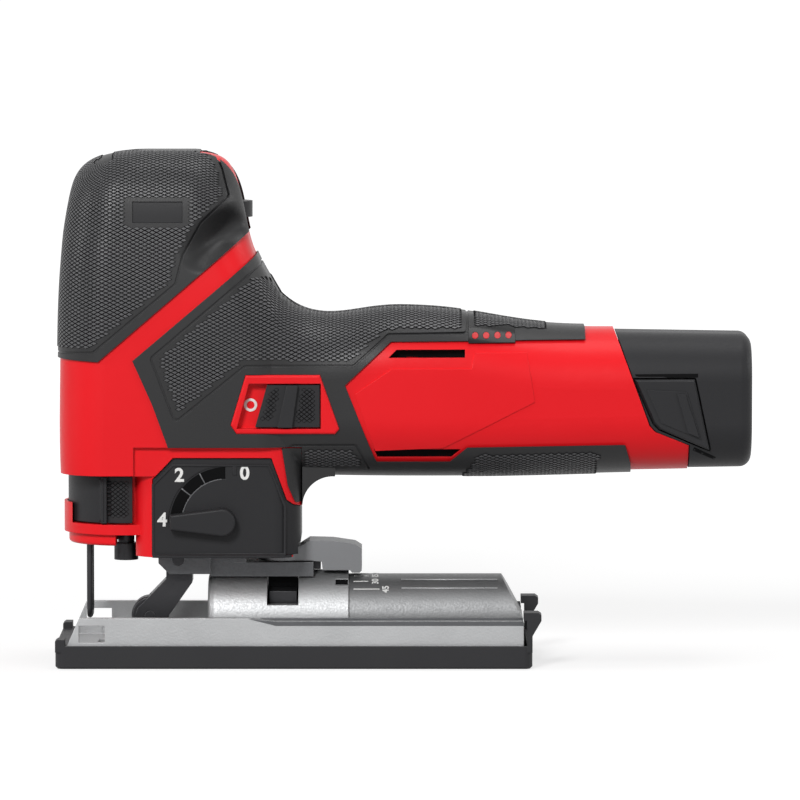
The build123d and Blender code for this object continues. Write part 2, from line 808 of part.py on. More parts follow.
with BuildPart() as roller_arm:
    with BuildSketch(Plane.XZ.offset(-arm_half)):
        with BuildLine():
            Polyline(
                (pivot_x - 4.6, pivot_z),
                (pivot_x - 4.6, 30.0),
                (roller_x - 4.6, 19.0),
                (roller_x, 11.5),
                (roller_x + 5.2, 14.0),
                (pivot_x + 4.9, 28.7),
                (pivot_x + 4.9, pivot_z),
                close=True,
            )
        make_face()
        with Locations((roller_x, roller_z)):
            Circle(5.2)
        with Locations((pivot_x, pivot_z)):
            Circle(4.7)
    extrude(amount=2 * arm_half)
    arm_cuts = [
        y_rod(roller_x, roller_z, roller_r + 0.9, -roller_half - 0.5, roller_half + 0.5),
        y_rod(pivot_x, pivot_z, pivot_r + run_gap, -20, 20),
        y_rod(roller_x, roller_z, 1.8, -20, 20),
        slab((-120, -roller_half - 0.5, 5), (roller_x, roller_half + 0.5, 22)),
    ]
    add(arm_cuts, mode=Mode.SUBTRACT)

with BuildPart() as roller_pin:
    add(y_rod(roller_x, roller_z, 1.8, -arm_half - 0.4, arm_half + 0.4))

with BuildPart() as roller:
    add(y_rod(roller_x, roller_z, roller_r, -roller_half, roller_half))
    chamfer(edges().filter_by(GeomType.CIRCLE), 0.5)
    add(y_rod(roller_x, roller_z, 1.8 + run_gap, -10, 10), mode=Mode.SUBTRACT)
    with BuildSketch(Plane.XY.offset(roller_z)):
        with BuildLine():
            Polyline(
                (roller_x - roller_r - 1, -1.3),
                (roller_x - roller_r + 1.2, -0.7),
                (roller_x - roller_r + 1.2, 0.7),
                (roller_x - roller_r - 1, 1.3),
                close=True,
            )
        make_face()
    revolve(axis=Axis((roller_x, 0, roller_z), (0, 1, 0)), mode=Mode.SUBTRACT)

# Bevel lock: lever, bolt and clamp block
lever_half = 8.0
hub_low = 36.8
hub_high = 42.0
with BuildPart() as bevel_lever:
    with BuildSketch(Plane.XZ.offset(-lever_half)):
        with BuildLine():
            Polyline(
                (-40.0, hub_low),
                (-34.0, hub_low),
                (-30.0, 36.4),
                (-29.6, 33.3),
                (-19.7, 33.3),
                (-18.9, 32.4),
                (-16.2, 32.4),
                (-15.4, 33.2),
                (-15.4, 41.3),
                (-17.8, 42.8),
                (-25.8, 44.0),
                (-34.4, 44.2),
                (-37.8, hub_high),
                (-40.0, hub_high),
                close=True,
            )
        make_face()
    extrude(amount=2 * lever_half)
    add(z_rod(clamp_x, 0, 9.0, hub_low, hub_high))
    add(z_rod(clamp_x, 0, bolt_r + run_gap, 30, 50), mode=Mode.SUBTRACT)

with BuildPart() as clamp_bolt:
    add(z_rod(clamp_x, 0, bolt_r, 21.5, hub_high + 0.4))
    add(z_rod(clamp_x, 0, 5.5, hub_high + 0.4, hub_high + 2.2))

with BuildPart() as clamp_block:
    add(slab((clamp_x - 5.0, -7, 20), (clamp_x + 5.0, 7, 30)))
    add(x_rod(0, bevel_z, arch_r - fit_gap, -80, 0), mode=Mode.INTERSECT)
    add(z_rod(clamp_x, 0, bolt_r, 10, 40), mode=Mode.SUBTRACT)

# Shoe
with BuildPart() as shoe:
    add(slab((shoe_front, -shoe_half, cover_floor), (hump_rear, shoe_half, web_high)))
    for start in (rail_in, -shoe_half):
        with BuildSketch(Plane.XZ.offset(start)):
            with BuildLine():
                Polyline(
                    (shoe_front, cover_floor),
                    (shoe_front, 8.3),
                    (-117.7, 17.6),
                    (-117.0, rail_front_high),
                    (-56.6, rail_front_high),
                    (-46.1, rail_rear_high),
                    (hump_rear, rail_rear_high),
                    (hump_rear, cover_floor),
                    close=True,
                )
            make_face()
        extrude(amount=shoe_half - rail_in)
    add(x_rod(0, bevel_z, cradle_r, cradle_front, cradle_rear))
    fillet(edges().filter_by(GeomType.CIRCLE).group_by(Axis.X)[0], 3.2)
    add(x_rod(0, bevel_z, hump_r, cradle_rear, hump_rear))
    add(slab((cradle_front, -cradle_r, cover_floor), (cradle_rear, cradle_r, bevel_z)))
    add(slab((cradle_rear, -hump_r, cover_floor), (hump_rear, hump_r, bevel_z)))
    end_slope = [(hump_rear_top, 32), (hump_rear_top, 31.6), (hump_rear + 0.1, 16), (60, 16), (60, 40), (36, 40)]
    shoe_cuts = [
        left_prism(end_slope, -45, 45),
        x_rod(0, bevel_z, arch_r, cradle_front + 3.5, hump_rear_top - 3),
        slab((cradle_front + 3.5, -arch_r, -1), (hump_rear_top - 3, arch_r, bevel_z)),
        slab((clamp_x - 5.7, -20, 21.4), (clamp_x + 5.7, 20, 40)),
        slab((cradle_rear - 4.8, -17, 28.2), (cradle_rear + 0.05, -9, 30.1)),
        slab((guide_x0, -40, guide_z0), (guide_x1, 40, guide_z1)),
        slab((-112, -11, -1), (-80, 11, 10)),
        slab((-130, -40, -5), (60, 40, cover_floor)),
    ]
    add(shoe_cuts, mode=Mode.SUBTRACT)

# Cover that clips under the shoe
with BuildPart() as shoe_cover:
    with BuildSketch():
        with Locations(((cover_front + cover_rear) / 2, 0)):
            RectangleRounded(cover_rear - cover_front, 2 * cover_half, 3.0)
    extrude(amount=cover_high)
    chamfer(faces().sort_by(Axis.Z)[0].edges(), 0.8)
    for side in (-cover_half, 25.0):
        with BuildSketch(Plane.XZ.offset(side)):
            with BuildLine():
                Polyline(
                    (43.2, 20.4),
                    (48.5, 20.4),
                    (49.6, 19.6),
                    (49.6, 17.5),
                    (cover_rear, 12.0),
                    (cover_rear, 6.0),
                    (44.5, 6.0),
                    (44.5, 17.6),
                    (43.2, 17.6),
                    close=True,
                )
            make_face()
        extrude(amount=8.0)
        with BuildSketch(Plane.XZ.offset(side)):
            with BuildLine():
                Polyline(
                    (cover_front, 6.0),
                    (cover_front, 10.0),
                    (cover_front + 0.8, 10.6),
                    (shoe_front - 0.9, 10.6),
                    (shoe_front - 0.9, 6.0),
                    close=True,
                )
            make_face()
        extrude(amount=8.0)
    cover_cuts = [
        slab((shoe_front, -shoe_half, cover_floor), (44.5, shoe_half, 12)),
        slab((-110, -8, -1), (-82, 8, 10)),
        slab((hump_rear + 0.05, -24.8, cover_floor), (44.5, 24.8, 12)),
    ]
    add(cover_cuts, mode=Mode.SUBTRACT)

# Battery: rear block, stem in the barrel, cells, contacts and two latches
pack_front = 70.0
pack_low = 70.5
pack_high = 120.6
pack_half = 24.4
pack_round = 17.0
pack_corner = 4.2
flap_edge = [(83.2, 104.2), (105.0, 104.2), (110.4, 78.6), (104.6, 81.0), (92.4, 86.2), (90.2, 88.4)]
flap_in = 21.4
flap_out = 24.6
flap_slit = 0.6
cell_spread = 10.8
cell_x0 = stem_front + 2.0
with BuildPart() as battery_case:
    with BuildSketch(Plane.YZ.offset(pack_front)):
        with Locations((0, (pack_low + pack_high) / 2)):
            RectangleRounded(2 * pack_half, pack_high - pack_low, pack_round)
    extrude(amount=pack_rear - pack_front, taper=0.9)
    fillet(faces().sort_by(Axis.X)[-1].edges(), pack_corner)
    front_cut = [(x + fit_gap, z) for x, z in collar_edge] + [(50, 50), (50, 140)]
    add(left_prism(front_cut, -45, 45), mode=Mode.SUBTRACT)
    add(x_rod(0, pack_z, stem_r, stem_front, 95))
    with BuildSketch(Plane.YZ.offset(stem_front - 1)):
        with Locations((0, pack_z)):
            with PolarLocations(cell_spread, 3, start_angle=90):
                Circle(cell_r)
    extrude(amount=cell_length + 3.0, mode=Mode.SUBTRACT)
    with BuildSketch(Plane.XZ.offset(-45)):
        with BuildLine():
            Polyline(*flap_edge, close=True)
        make_face()
        offset(amount=flap_slit, mode=Mode.REPLACE)
    extrude(amount=90, mode=Mode.SUBTRACT)

with BuildPart() as pack_core:
    with BuildSketch(Plane.XZ.offset(-19.1)):
        with BuildLine():
            Polyline(*flap_edge, close=True)
        make_face()
        offset(amount=flap_slit + 0.4, mode=Mode.REPLACE)
    extrude(amount=38.2)
    front_cut = [(x + fit_gap, z) for x, z in collar_edge] + [(50, 50), (50, 140)]
    add(left_prism(front_cut, -45, 45), mode=Mode.SUBTRACT)
    with BuildSketch(Plane.YZ.offset(stem_front - 1)):
        with Locations((0, pack_z)):
            with PolarLocations(cell_spread, 3, start_angle=90):
                Circle(cell_r)
    extrude(amount=cell_length + 3.0, mode=Mode.SUBTRACT)

contact_plate = slab((stem_front, -6, pack_z - 21.0), (stem_front + 9, 6, pack_z - 20.2))
with BuildPart() as battery_shell:
    add(battery_case.part)
    add(pack_core.part)
    add(contact_plate, mode=Mode.SUBTRACT)

with BuildPart() as battery_cells:
    with BuildSketch(Plane.YZ.offset(cell_x0)):
        with Locations((0, pack_z)):
            with PolarLocations(cell_spread, 3, start_angle=90):
                Circle(cell_r)
    extrude(amount=cell_length)

with BuildPart() as battery_contacts:
    add(contact_plate)

with BuildPart() as left_latch:
    add(left_prism(flap_edge, flap_in, flap_out))
    chamfer(edges().group_by(Axis.Y)[0], 0.7)

with BuildPart() as right_latch:
    mirror(left_latch.part, about=Plane.XZ)

pieces = {
    "left_shell": left_shell,
    "right_shell": right_shell,
    "left_head_grip": left_head_grip,
    "right_head_grip": right_head_grip,
    "left_barrel_grip": left_barrel_grip,
    "right_barrel_grip": right_barrel_grip,
    "shell_screws": shell_screw_set,
    "badge_plates": badge_plates,
    "gauge_strip": gauge_strip,
    "gauge_lights": gauge_lights,
    "gauge_filler": gauge_filler,
    "left_bezel": left_bezel,
    "right_bezel": right_bezel,
    "left_slider": left_slider,
    "right_slider": right_slider,
    "switch_link": switch_link,
    "switch_block": switch_block,
    "terminal_block": terminal_block,
    "control_board": control_board,
    "speed_control": speed_control,
    "speed_dial": speed_dial,
    "motor_stator": motor_stator,
    "motor_rotor": motor_rotor,
    "motor_fan": motor_fan,
    "drive_pinion": drive_pinion,
    "motor_bearings": motor_bearings,
    "drive_gear": drive_gear,
    "crank_pin": crank_pin,
    "gear_axle": gear_axle,
    "plunger": plunger,
    "plunger_bushes": plunger_bushes,
    "clamp_collar": clamp_collar,
    "release_lever": release_lever,
    "wire_guard": wire_guard,
    "gear_case": gear_case,
    "orbit_selector": orbit_selector,
    "bracket": bracket,
    "bracket_screws": bracket_screw_set,
    "pivot_pin": pivot_pin,
    "roller_arm": roller_arm,
    "roller_pin": roller_pin,
    "roller": roller,
    "bevel_lever": bevel_lever,
    "clamp_bolt": clamp_bolt,
    "clamp_block": clamp_block,
    "shoe": shoe,
    "shoe_cover": shoe_cover,
    "battery_shell": battery_shell,
    "battery_cells": battery_cells,
    "battery_contacts": battery_contacts,
    "left_latch": left_latch,
    "right_latch": right_latch,
}
for name, piece in pieces.items():
    piece.part.label = name
    export_step(piece.part, "parts/" + name + ".step")
    print(name, len(piece.part.solids()), round(piece.part.volume))
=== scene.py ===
# %% [markdown]
# # A compact barrel-grip jigsaw
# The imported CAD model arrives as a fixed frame: every rigid piece already has its true size and place.
# This script gives each piece its finish and adds the fine relief that is too small for the solids: the
# knurled rubber, the printed scales, the trim of the gear case and the latches, and the marks on the shoe.
# Drawings are in millimetres, as on the solids, and turn into Blender's metres when a mesh is made.

# %% Load the frame
import json
import bpy
from math import cos, degrees, pi, radians, sin, sqrt
from mathutils import Matrix, Vector
from mathutils.bvhtree import BVHTree
from mathutils.geometry import delaunay_2d_cdt


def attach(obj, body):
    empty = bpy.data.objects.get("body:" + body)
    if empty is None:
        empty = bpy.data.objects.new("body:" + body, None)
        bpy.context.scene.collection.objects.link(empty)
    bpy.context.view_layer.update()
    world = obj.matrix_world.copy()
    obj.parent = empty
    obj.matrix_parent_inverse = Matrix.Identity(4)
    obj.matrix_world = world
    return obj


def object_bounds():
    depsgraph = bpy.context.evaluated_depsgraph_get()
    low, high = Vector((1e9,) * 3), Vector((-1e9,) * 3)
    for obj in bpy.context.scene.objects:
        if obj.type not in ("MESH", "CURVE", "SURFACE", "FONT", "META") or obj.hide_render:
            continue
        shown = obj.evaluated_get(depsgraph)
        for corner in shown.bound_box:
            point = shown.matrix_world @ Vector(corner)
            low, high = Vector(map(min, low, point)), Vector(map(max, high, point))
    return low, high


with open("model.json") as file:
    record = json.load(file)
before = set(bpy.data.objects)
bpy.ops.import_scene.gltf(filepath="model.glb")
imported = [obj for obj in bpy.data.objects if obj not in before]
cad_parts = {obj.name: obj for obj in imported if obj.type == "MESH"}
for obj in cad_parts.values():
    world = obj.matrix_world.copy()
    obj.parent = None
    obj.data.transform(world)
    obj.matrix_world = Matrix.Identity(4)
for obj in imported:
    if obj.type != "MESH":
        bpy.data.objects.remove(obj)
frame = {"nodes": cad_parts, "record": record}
nodes = frame["nodes"]
cad_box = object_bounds()
scene = bpy.context.scene
MM = 0.001
print(len(nodes), "solids in the frame")

# %% [markdown]
# The photograph was taken from the user's left with a long lens, slightly above the tool. A wide lens from
# close by would swell the middle of the tool and shrink its ends, so the camera stands far off with a long
# focal length, which gives the same flat perspective.

# %% Camera
AIM = Vector((-1.46, 0.0, 94.9)) * MM
DISTANCE = 2.4
RISE = radians(4.5)
FOCAL_LENGTH = 296
SENSOR_WIDTH = 36


def aim_at_tool(thing, place):
    """Stands a camera or a lamp at a place in metres and turns it to the middle of the tool."""
    thing.location = place
    thing.rotation_euler = (AIM - thing.location).to_track_quat("-Z", "Y").to_euler()
    scene.collection.objects.link(thing)


scene.view_settings.view_transform = "Standard"
lens = bpy.data.cameras.new("photo_lens")
lens.lens = FOCAL_LENGTH
lens.sensor_width = SENSOR_WIDTH
camera = bpy.data.objects.new("photo_camera", lens)
aim_at_tool(camera, AIM + DISTANCE * Vector((0, -cos(RISE), sin(RISE))))
scene.camera = camera
print("camera at", [round(c, 3) for c in camera.location])

# %% [markdown]
# Materials are trees of small nodes. They could be drawn by hand in the node editor, but in a script three
# helpers keep them short: one adds a node with its settings, one links pairs of sockets, and one tells
# what the camera sees, directly or in a mirror, from the soft light that only brightens other surfaces.

# %% Node helpers
def add_node(tree, kind, values=None, **settings):
    """A shader node with its settings, and with values for some of its inputs."""
    node = tree.nodes.new("ShaderNode" + kind)
    for setting, value in settings.items():
        setattr(node, setting, value)
    for label, value in (values or {}).items():
        node.inputs[label].default_value = value
    return node


def link_nodes(tree, *pairs):
    for source, target in pairs:
        tree.links.new(source, target)


def seen_directly(tree):
    """One where a ray comes from the camera, a mirror or glass, and nought for soft light."""
    path = add_node(tree, "LightPath")
    first = add_node(tree, "Math", operation="MAXIMUM")
    second = add_node(tree, "Math", operation="MAXIMUM")
    link_nodes(
        tree,
        (path.outputs["Is Camera Ray"], first.inputs[0]),
        (path.outputs["Is Glossy Ray"], first.inputs[1]),
        (first.outputs[0], second.inputs[0]),
        (path.outputs["Is Transmission Ray"], second.inputs[1]),
    )
    return second.outputs[0]


print("node helpers are ready")

# %% [markdown]
# The tool stands on a floor so wide that no edge shows. A curved backdrop would do as well, but a flat sheet
# needs only four corners. It lies a hair below the tool, so that it doesn't fight with the underside of the
# shoe, and it isn't part of the object.

# %% Floor
FLOOR_HALF = 30.0
FLOOR_LEVEL = -0.0002
signs = [(-1, -1), (1, -1), (1, 1), (-1, 1)]
corners = [(x * FLOOR_HALF, y * FLOOR_HALF, FLOOR_LEVEL) for x, y in signs]
floor_mesh = bpy.data.meshes.new("floor")
floor_mesh.from_pydata(corners, [], [(0, 1, 2, 3)])
floor = bpy.data.objects.new("floor", floor_mesh)
scene.collection.objects.link(floor)
print("floor", 2 * FLOOR_HALF, "m wide")

# %% [markdown]
# The floor is white paper. Plain white would turn grey or drown the shadow. So the paper is a matt grey that
# catches the shadow, and it adds a glow of its own where the camera or a mirror-like surface sees it: weaker
# near the tool, full far away.

# %% White paper
PAPER_TONE = 0.36
GLOW = {"From Min": 0.15, "From Max": 1.2, "To Min": 0.72, "To Max": 1.0}
paper = bpy.data.materials.new("white_paper")
paper.use_nodes = True
tree = paper.node_tree
tree.nodes.clear()
out = add_node(tree, "OutputMaterial")
matt = add_node(tree, "BsdfDiffuse", {"Color": (PAPER_TONE, PAPER_TONE, PAPER_TONE, 1)})
glow = add_node(tree, "Emission")
both = add_node(tree, "AddShader")
strength = add_node(tree, "Math", operation="MULTIPLY")
place = add_node(tree, "TexCoord")
away = add_node(tree, "VectorMath", operation="LENGTH")
fade = add_node(tree, "MapRange", GLOW, interpolation_type="SMOOTHSTEP")
link_nodes(
    tree,
    (place.outputs["Object"], away.inputs[0]),
    (away.outputs["Value"], fade.inputs["Value"]),
    (fade.outputs["Result"], strength.inputs[1]),
    (seen_directly(tree), strength.inputs[0]),
    (strength.outputs[0], glow.inputs["Strength"]),
    (matt.outputs[0], both.inputs[0]),
    (glow.outputs[0], both.inputs[1]),
    (both.outputs[0], out.inputs["Surface"]),
)
floor_mesh.materials.append(paper)
print("paper glows from", GLOW["To Min"], "to", GLOW["To Max"])

# %% [markdown]
# A studio surrounds a tool with white cards. Here the world is white: bright where it is seen or mirrored,
# and dim as a light, because an even light from all sides would flatten the forms. Five area lamps shape
# them instead: a key at the front left, a weak fill, one overhead, and one at each end for the rims.

# %% Surround and lamps
SURROUND = {"To Min": 0.16, "To Max": 1.0}
LAMPS = {
    "key_lamp": ((-0.6, -1.8, 1.1), 0.5, 30.0),
    "fill_lamp": ((1.4, -1.4, 0.7), 0.7, 4.0),
    "top_lamp": ((0.2, 0.0, 1.6), 0.8, 7.0),
    "left_rim": ((-1.6, -0.3, 0.6), 0.6, 5.0),
    "right_rim": ((1.6, 0.2, 0.6), 0.6, 5.0),
}
surround = bpy.data.worlds.new("soft_surround")
scene.world = surround
surround.use_nodes = True
tree = surround.node_tree
background = tree.nodes["Background"]
background.inputs["Color"].default_value = (1, 1, 1, 1)
share = add_node(tree, "MapRange", SURROUND)
link_nodes(
    tree,
    (seen_directly(tree), share.inputs["Value"]),
    (share.outputs[0], background.inputs["Strength"]),
)
for name, (stand, size, power) in LAMPS.items():
    lamp = bpy.data.lights.new(name, "AREA")
    lamp.size = size
    lamp.energy = power
    aim_at_tool(bpy.data.objects.new(name, lamp), stand)
print(len(LAMPS), "lamps")

# %% [markdown]
# Moulded plastic, rubber and castings share a fine grain and a slow drift in tone. Each material could
# repeat those nodes, but a node group is built once and placed in each with its own values. The grain is
# noise rather than a picture, so it has no seams and stays sharp at any distance.

# %% Moulded grain
NOISE_ROUGHNESS = 0.55


def new_group(name, inputs, outputs):
    """An empty node group with its sockets, and the two nodes that hold them inside."""
    group = bpy.data.node_groups.new(name, "ShaderNodeTree")
    for label, kind, value in inputs:
        socket = group.interface.new_socket(label, in_out="INPUT", socket_type="NodeSocket" + kind)
        socket.default_value = value
    for label, kind in outputs:
        group.interface.new_socket(label, in_out="OUTPUT", socket_type="NodeSocket" + kind)
    return group, group.nodes.new("NodeGroupInput"), group.nodes.new("NodeGroupOutput")


def colour_mix(tree):
    """A mix of two colours: its share, the two colours and the result, all as sockets."""
    mix = add_node(tree, "Mix", data_type="RGBA")
    return mix.inputs[0], mix.inputs[6], mix.inputs[7], mix.outputs[2]


MOULDED_GRAIN, given, result = new_group(
    "moulded_grain",
    [
        ("Tone", "Color", (0.5, 0.5, 0.5, 1)),
        ("Shade", "Color", (0.4, 0.4, 0.4, 1)),
        ("Grain Scale", "Float", 3000.0),
        ("Drift Scale", "Float", 40.0),
        ("Roughness Low", "Float", 0.4),
        ("Roughness High", "Float", 0.6),
    ],
    [("Color", "Color"), ("Roughness", "Float"), ("Height", "Float")],
)
place = add_node(MOULDED_GRAIN, "TexCoord")
grain = add_node(MOULDED_GRAIN, "TexNoise", {"Detail": 2.0, "Roughness": NOISE_ROUGHNESS})
drift = add_node(MOULDED_GRAIN, "TexNoise", {"Detail": 4.0, "Roughness": NOISE_ROUGHNESS})
rough = add_node(MOULDED_GRAIN, "MapRange", {"From Min": 0.3, "From Max": 0.7})
share, first, second, mixed = colour_mix(MOULDED_GRAIN)
link_nodes(
    MOULDED_GRAIN,
    (place.outputs["Object"], grain.inputs["Vector"]),
    (place.outputs["Object"], drift.inputs["Vector"]),
    (given.outputs["Grain Scale"], grain.inputs["Scale"]),
    (given.outputs["Drift Scale"], drift.inputs["Scale"]),
    (drift.outputs["Fac"], share),
    (given.outputs["Tone"], first),
    (given.outputs["Shade"], second),
    (grain.outputs["Fac"], rough.inputs["Value"]),
    (given.outputs["Roughness Low"], rough.inputs["To Min"]),
    (given.outputs["Roughness High"], rough.inputs["To Max"]),
    (mixed, result.inputs["Color"]),
    (rough.outputs["Result"], result.inputs["Roughness"]),
    (grain.outputs["Fac"], result.inputs["Height"]),
)
print("shared effect:", MOULDED_GRAIN.name)

# %% [markdown]
# No moulding has a truly sharp edge, and handling rubs the edges pale. Real bevels on every solid would be
# heavy, so a Bevel node rounds the edges in the shading. Where its normal leaves the true one there is an
# edge, and that mask, broken up by noise, mixes in the worn tone.

# %% Rubbed edges
EDGE_RADIUS = 0.35
EDGE_TURN = {"From Min": 0.998, "From Max": 0.88}
PATCHES = {"Detail": 4.0, "Roughness": 0.7, "Scale": 160.0}
RUBBED_EDGE, given, result = new_group(
    "rubbed_edge",
    [("Color", "Color", (0.5, 0.5, 0.5, 1)), ("Worn", "Color", (0.7, 0.7, 0.7, 1)), ("Amount", "Float", 0.5)],
    [("Color", "Color"), ("Normal", "Vector")],
)
bevel = add_node(RUBBED_EDGE, "Bevel", {"Radius": EDGE_RADIUS * MM}, samples=4)
surface = add_node(RUBBED_EDGE, "NewGeometry")
turn = add_node(RUBBED_EDGE, "VectorMath", operation="DOT_PRODUCT")
edge = add_node(RUBBED_EDGE, "MapRange", EDGE_TURN)
place = add_node(RUBBED_EDGE, "TexCoord")
patch = add_node(RUBBED_EDGE, "TexNoise", PATCHES)
broken = add_node(RUBBED_EDGE, "Math", operation="MULTIPLY")
amount = add_node(RUBBED_EDGE, "Math", operation="MULTIPLY")
share, first, second, mixed = colour_mix(RUBBED_EDGE)
link_nodes(
    RUBBED_EDGE,
    (bevel.outputs["Normal"], turn.inputs[0]),
    (surface.outputs["Normal"], turn.inputs[1]),
    (turn.outputs["Value"], edge.inputs["Value"]),
    (place.outputs["Object"], patch.inputs["Vector"]),
    (edge.outputs["Result"], broken.inputs[0]),
    (patch.outputs["Fac"], broken.inputs[1]),
    (broken.outputs[0], amount.inputs[0]),
    (given.outputs["Amount"], amount.inputs[1]),
    (amount.outputs[0], share),
    (given.outputs["Color"], first),
    (given.outputs["Worn"], second),
    (mixed, result.inputs["Color"]),
    (bevel.outputs["Normal"], result.inputs["Normal"]),
)
print("shared effect:", RUBBED_EDGE.name)

# %% [markdown]
# Turned and ground steel shows fine parallel lines. An anisotropic shader could hint at them, but noise that
# is stretched along one axis also gives the lines themselves, as changes in roughness and in height.

# %% Brush lines
BRUSH_LINES, given, result = new_group(
    "brush_lines",
    [("Stretch", "Vector", (40.0, 1500.0, 1500.0)), ("Low", "Float", 0.25), ("High", "Float", 0.45)],
    [("Roughness", "Float"), ("Height", "Float")],
)
place = add_node(BRUSH_LINES, "TexCoord")
scale = add_node(BRUSH_LINES, "VectorMath", operation="MULTIPLY")
lines = add_node(BRUSH_LINES, "TexNoise", {"Detail": 3.0, "Roughness": NOISE_ROUGHNESS, "Scale": 1.0})
rough = add_node(BRUSH_LINES, "MapRange")
link_nodes(
    BRUSH_LINES,
    (place.outputs["Object"], scale.inputs[0]),
    (given.outputs["Stretch"], scale.inputs[1]),
    (scale.outputs[0], lines.inputs["Vector"]),
    (lines.outputs["Fac"], rough.inputs["Value"]),
    (given.outputs["Low"], rough.inputs["To Min"]),
    (given.outputs["High"], rough.inputs["To Max"]),
    (rough.outputs["Result"], result.inputs["Roughness"]),
    (lines.outputs["Fac"], result.inputs["Height"]),
)
print("shared effect:", BRUSH_LINES.name)

# %% [markdown]
# A finish joins the grain and the rubbed edge to one Principled shader. Colours could be written as linear
# light, as Blender wants them, but ordinary screen values are easier to compare with the photograph, so
# they turn into linear light here.

# %% One finish from the shared effects
def linear(*screen):
    def part(value):
        value = value / 255
        return value / 12.92 if value <= 0.04045 else ((value + 0.055) / 1.055) ** 2.4

    return (*[part(value) for value in screen], 1.0)


def finish(
    name,
    tone,
    shade,
    rough,
    grain=3000.0,
    depth=0.03,
    drift=40.0,
    worn=None,
    wear=0.0,
    metal=0.0,
    gloss=0.2,
):
    material = bpy.data.materials.new(name)
    material.use_nodes = True
    tree = material.node_tree
    shader = tree.nodes["Principled BSDF"]
    shader.inputs["Metallic"].default_value = metal
    shader.inputs["Specular IOR Level"].default_value = gloss
    skin_values = {
        "Tone": linear(*tone),
        "Shade": linear(*shade),
        "Grain Scale": grain,
        "Drift Scale": drift,
        "Roughness Low": rough[0],
        "Roughness High": rough[1],
    }
    edge_values = {"Worn": linear(*(worn or tone)), "Amount": wear}
    skin = add_node(tree, "Group", skin_values, node_tree=MOULDED_GRAIN)
    edge = add_node(tree, "Group", edge_values, node_tree=RUBBED_EDGE)
    bump = add_node(tree, "Bump", {"Strength": 1.0, "Distance": depth * MM}, name="grain_bump")
    link_nodes(
        tree,
        (skin.outputs["Color"], edge.inputs["Color"]),
        (edge.outputs["Color"], shader.inputs["Base Color"]),
        (skin.outputs["Roughness"], shader.inputs["Roughness"]),
        (skin.outputs["Height"], bump.inputs["Height"]),
        (edge.outputs["Normal"], bump.inputs["Normal"]),
        (bump.outputs["Normal"], shader.inputs["Normal"]),
    )
    return material


print("a finish uses", MOULDED_GRAIN.name, "and", RUBBED_EDGE.name)

# %% [markdown]
# Shafts, pins and bushes are bare turned metal. They could have trees of their own, but they differ from the
# other finishes only in their brush lines. So a machined finish starts as a finish, and then takes its
# roughness and its height from the lines.

# %% Machined finish
BARE_EDGE = (235, 235, 235)


def machined(name, tone, shade, stretch, rough):
    material = finish(name, tone, shade, rough, depth=0.01, worn=BARE_EDGE, wear=0.5, metal=1.0)
    tree = material.node_tree
    line_values = {"Stretch": stretch, "Low": rough[0], "High": rough[1]}
    lines = add_node(tree, "Group", line_values, node_tree=BRUSH_LINES)
    link_nodes(
        tree,
        (lines.outputs["Roughness"], tree.nodes["Principled BSDF"].inputs["Roughness"]),
        (lines.outputs["Height"], tree.nodes["grain_bump"].inputs["Height"]),
    )
    return material


print("a machined finish adds", BRUSH_LINES.name)

# %% [markdown]
# The palette follows the record's material slots: satin red shells, matt black rubber, several black
# plastics that differ a little in gloss, a shot-blasted aluminium shoe and darker steel for the moving
# parts. A table keeps neighbours side by side, so that their tones can be weighed against each other.

# %% The finishes of this tool
# A row holds tone, shade, lowest and highest roughness, grain scale, grain depth in mm and drift scale,
# then the tone and share of rubbed edges, the share of metal and the gloss.
CAST_AND_MOULDED = {
    "red_shell": ((240, 28, 37), (232, 22, 31), (0.32, 0.42), 2400, 0.02, 25, (244, 70, 72), 0.5),
    "grip_rubber": ((36, 36, 37), (31, 31, 32), (0.36, 0.5), 1900, 0.04, 30, (66, 66, 68), 0.5, 0.0, 0.3),
    "case_plastic": ((38, 38, 40), (33, 33, 35), (0.38, 0.52), 2600, 0.03, 30, (74, 74, 76), 0.6),
    "dark_plastic": ((38, 38, 40), (33, 33, 35), (0.36, 0.5), 2600, 0.02, 40, (80, 80, 82), 0.6),
    "lever_plastic": ((42, 42, 44), (35, 35, 37), (0.4, 0.55), 2400, 0.03, 40, (78, 78, 80), 0.6),
    "battery_plastic": ((40, 40, 42), (34, 34, 36), (0.4, 0.56), 2200, 0.03, 30, (78, 78, 80), 0.5),
    "cover_plastic": ((50, 50, 52), (44, 44, 46), (0.45, 0.6), 2000, 0.03, 30, (88, 88, 90), 0.6),
    "plate": ((34, 34, 36), (29, 29, 31), (0.35, 0.45), 2600, 0.02, 40, (70, 70, 72), 0.4),
    "gauge_plastic": ((30, 30, 31), (26, 26, 27), (0.14, 0.22), 1800, 0.005, 40),
    "gauge_red": ((214, 30, 36), (180, 16, 22), (0.12, 0.2), 1800, 0.005, 60),
    "cast_aluminium": (
        (174, 175, 176), (156, 157, 158), (0.42, 0.58), 1500, 0.06, 60, (236, 236, 236), 0.6, 0.85
    ),
    "bracket_metal": ((96, 97, 99), (80, 81, 83), (0.4, 0.55), 1500, 0.05, 60, (196, 196, 198), 0.6, 0.8),
    "lever_grey": ((134, 135, 137), (118, 119, 121), (0.38, 0.5), 2000, 0.03, 40, (186, 186, 188), 0.5, 0.4),
    "dark_steel": ((66, 66, 68), (50, 50, 52), (0.34, 0.5), 1500, 0.03, 90, (150, 150, 152), 0.6, 0.8),
    "board": ((30, 96, 58), (22, 76, 46), (0.3, 0.45), 1200, 0.02, 80, (70, 140, 96), 0.4),
}
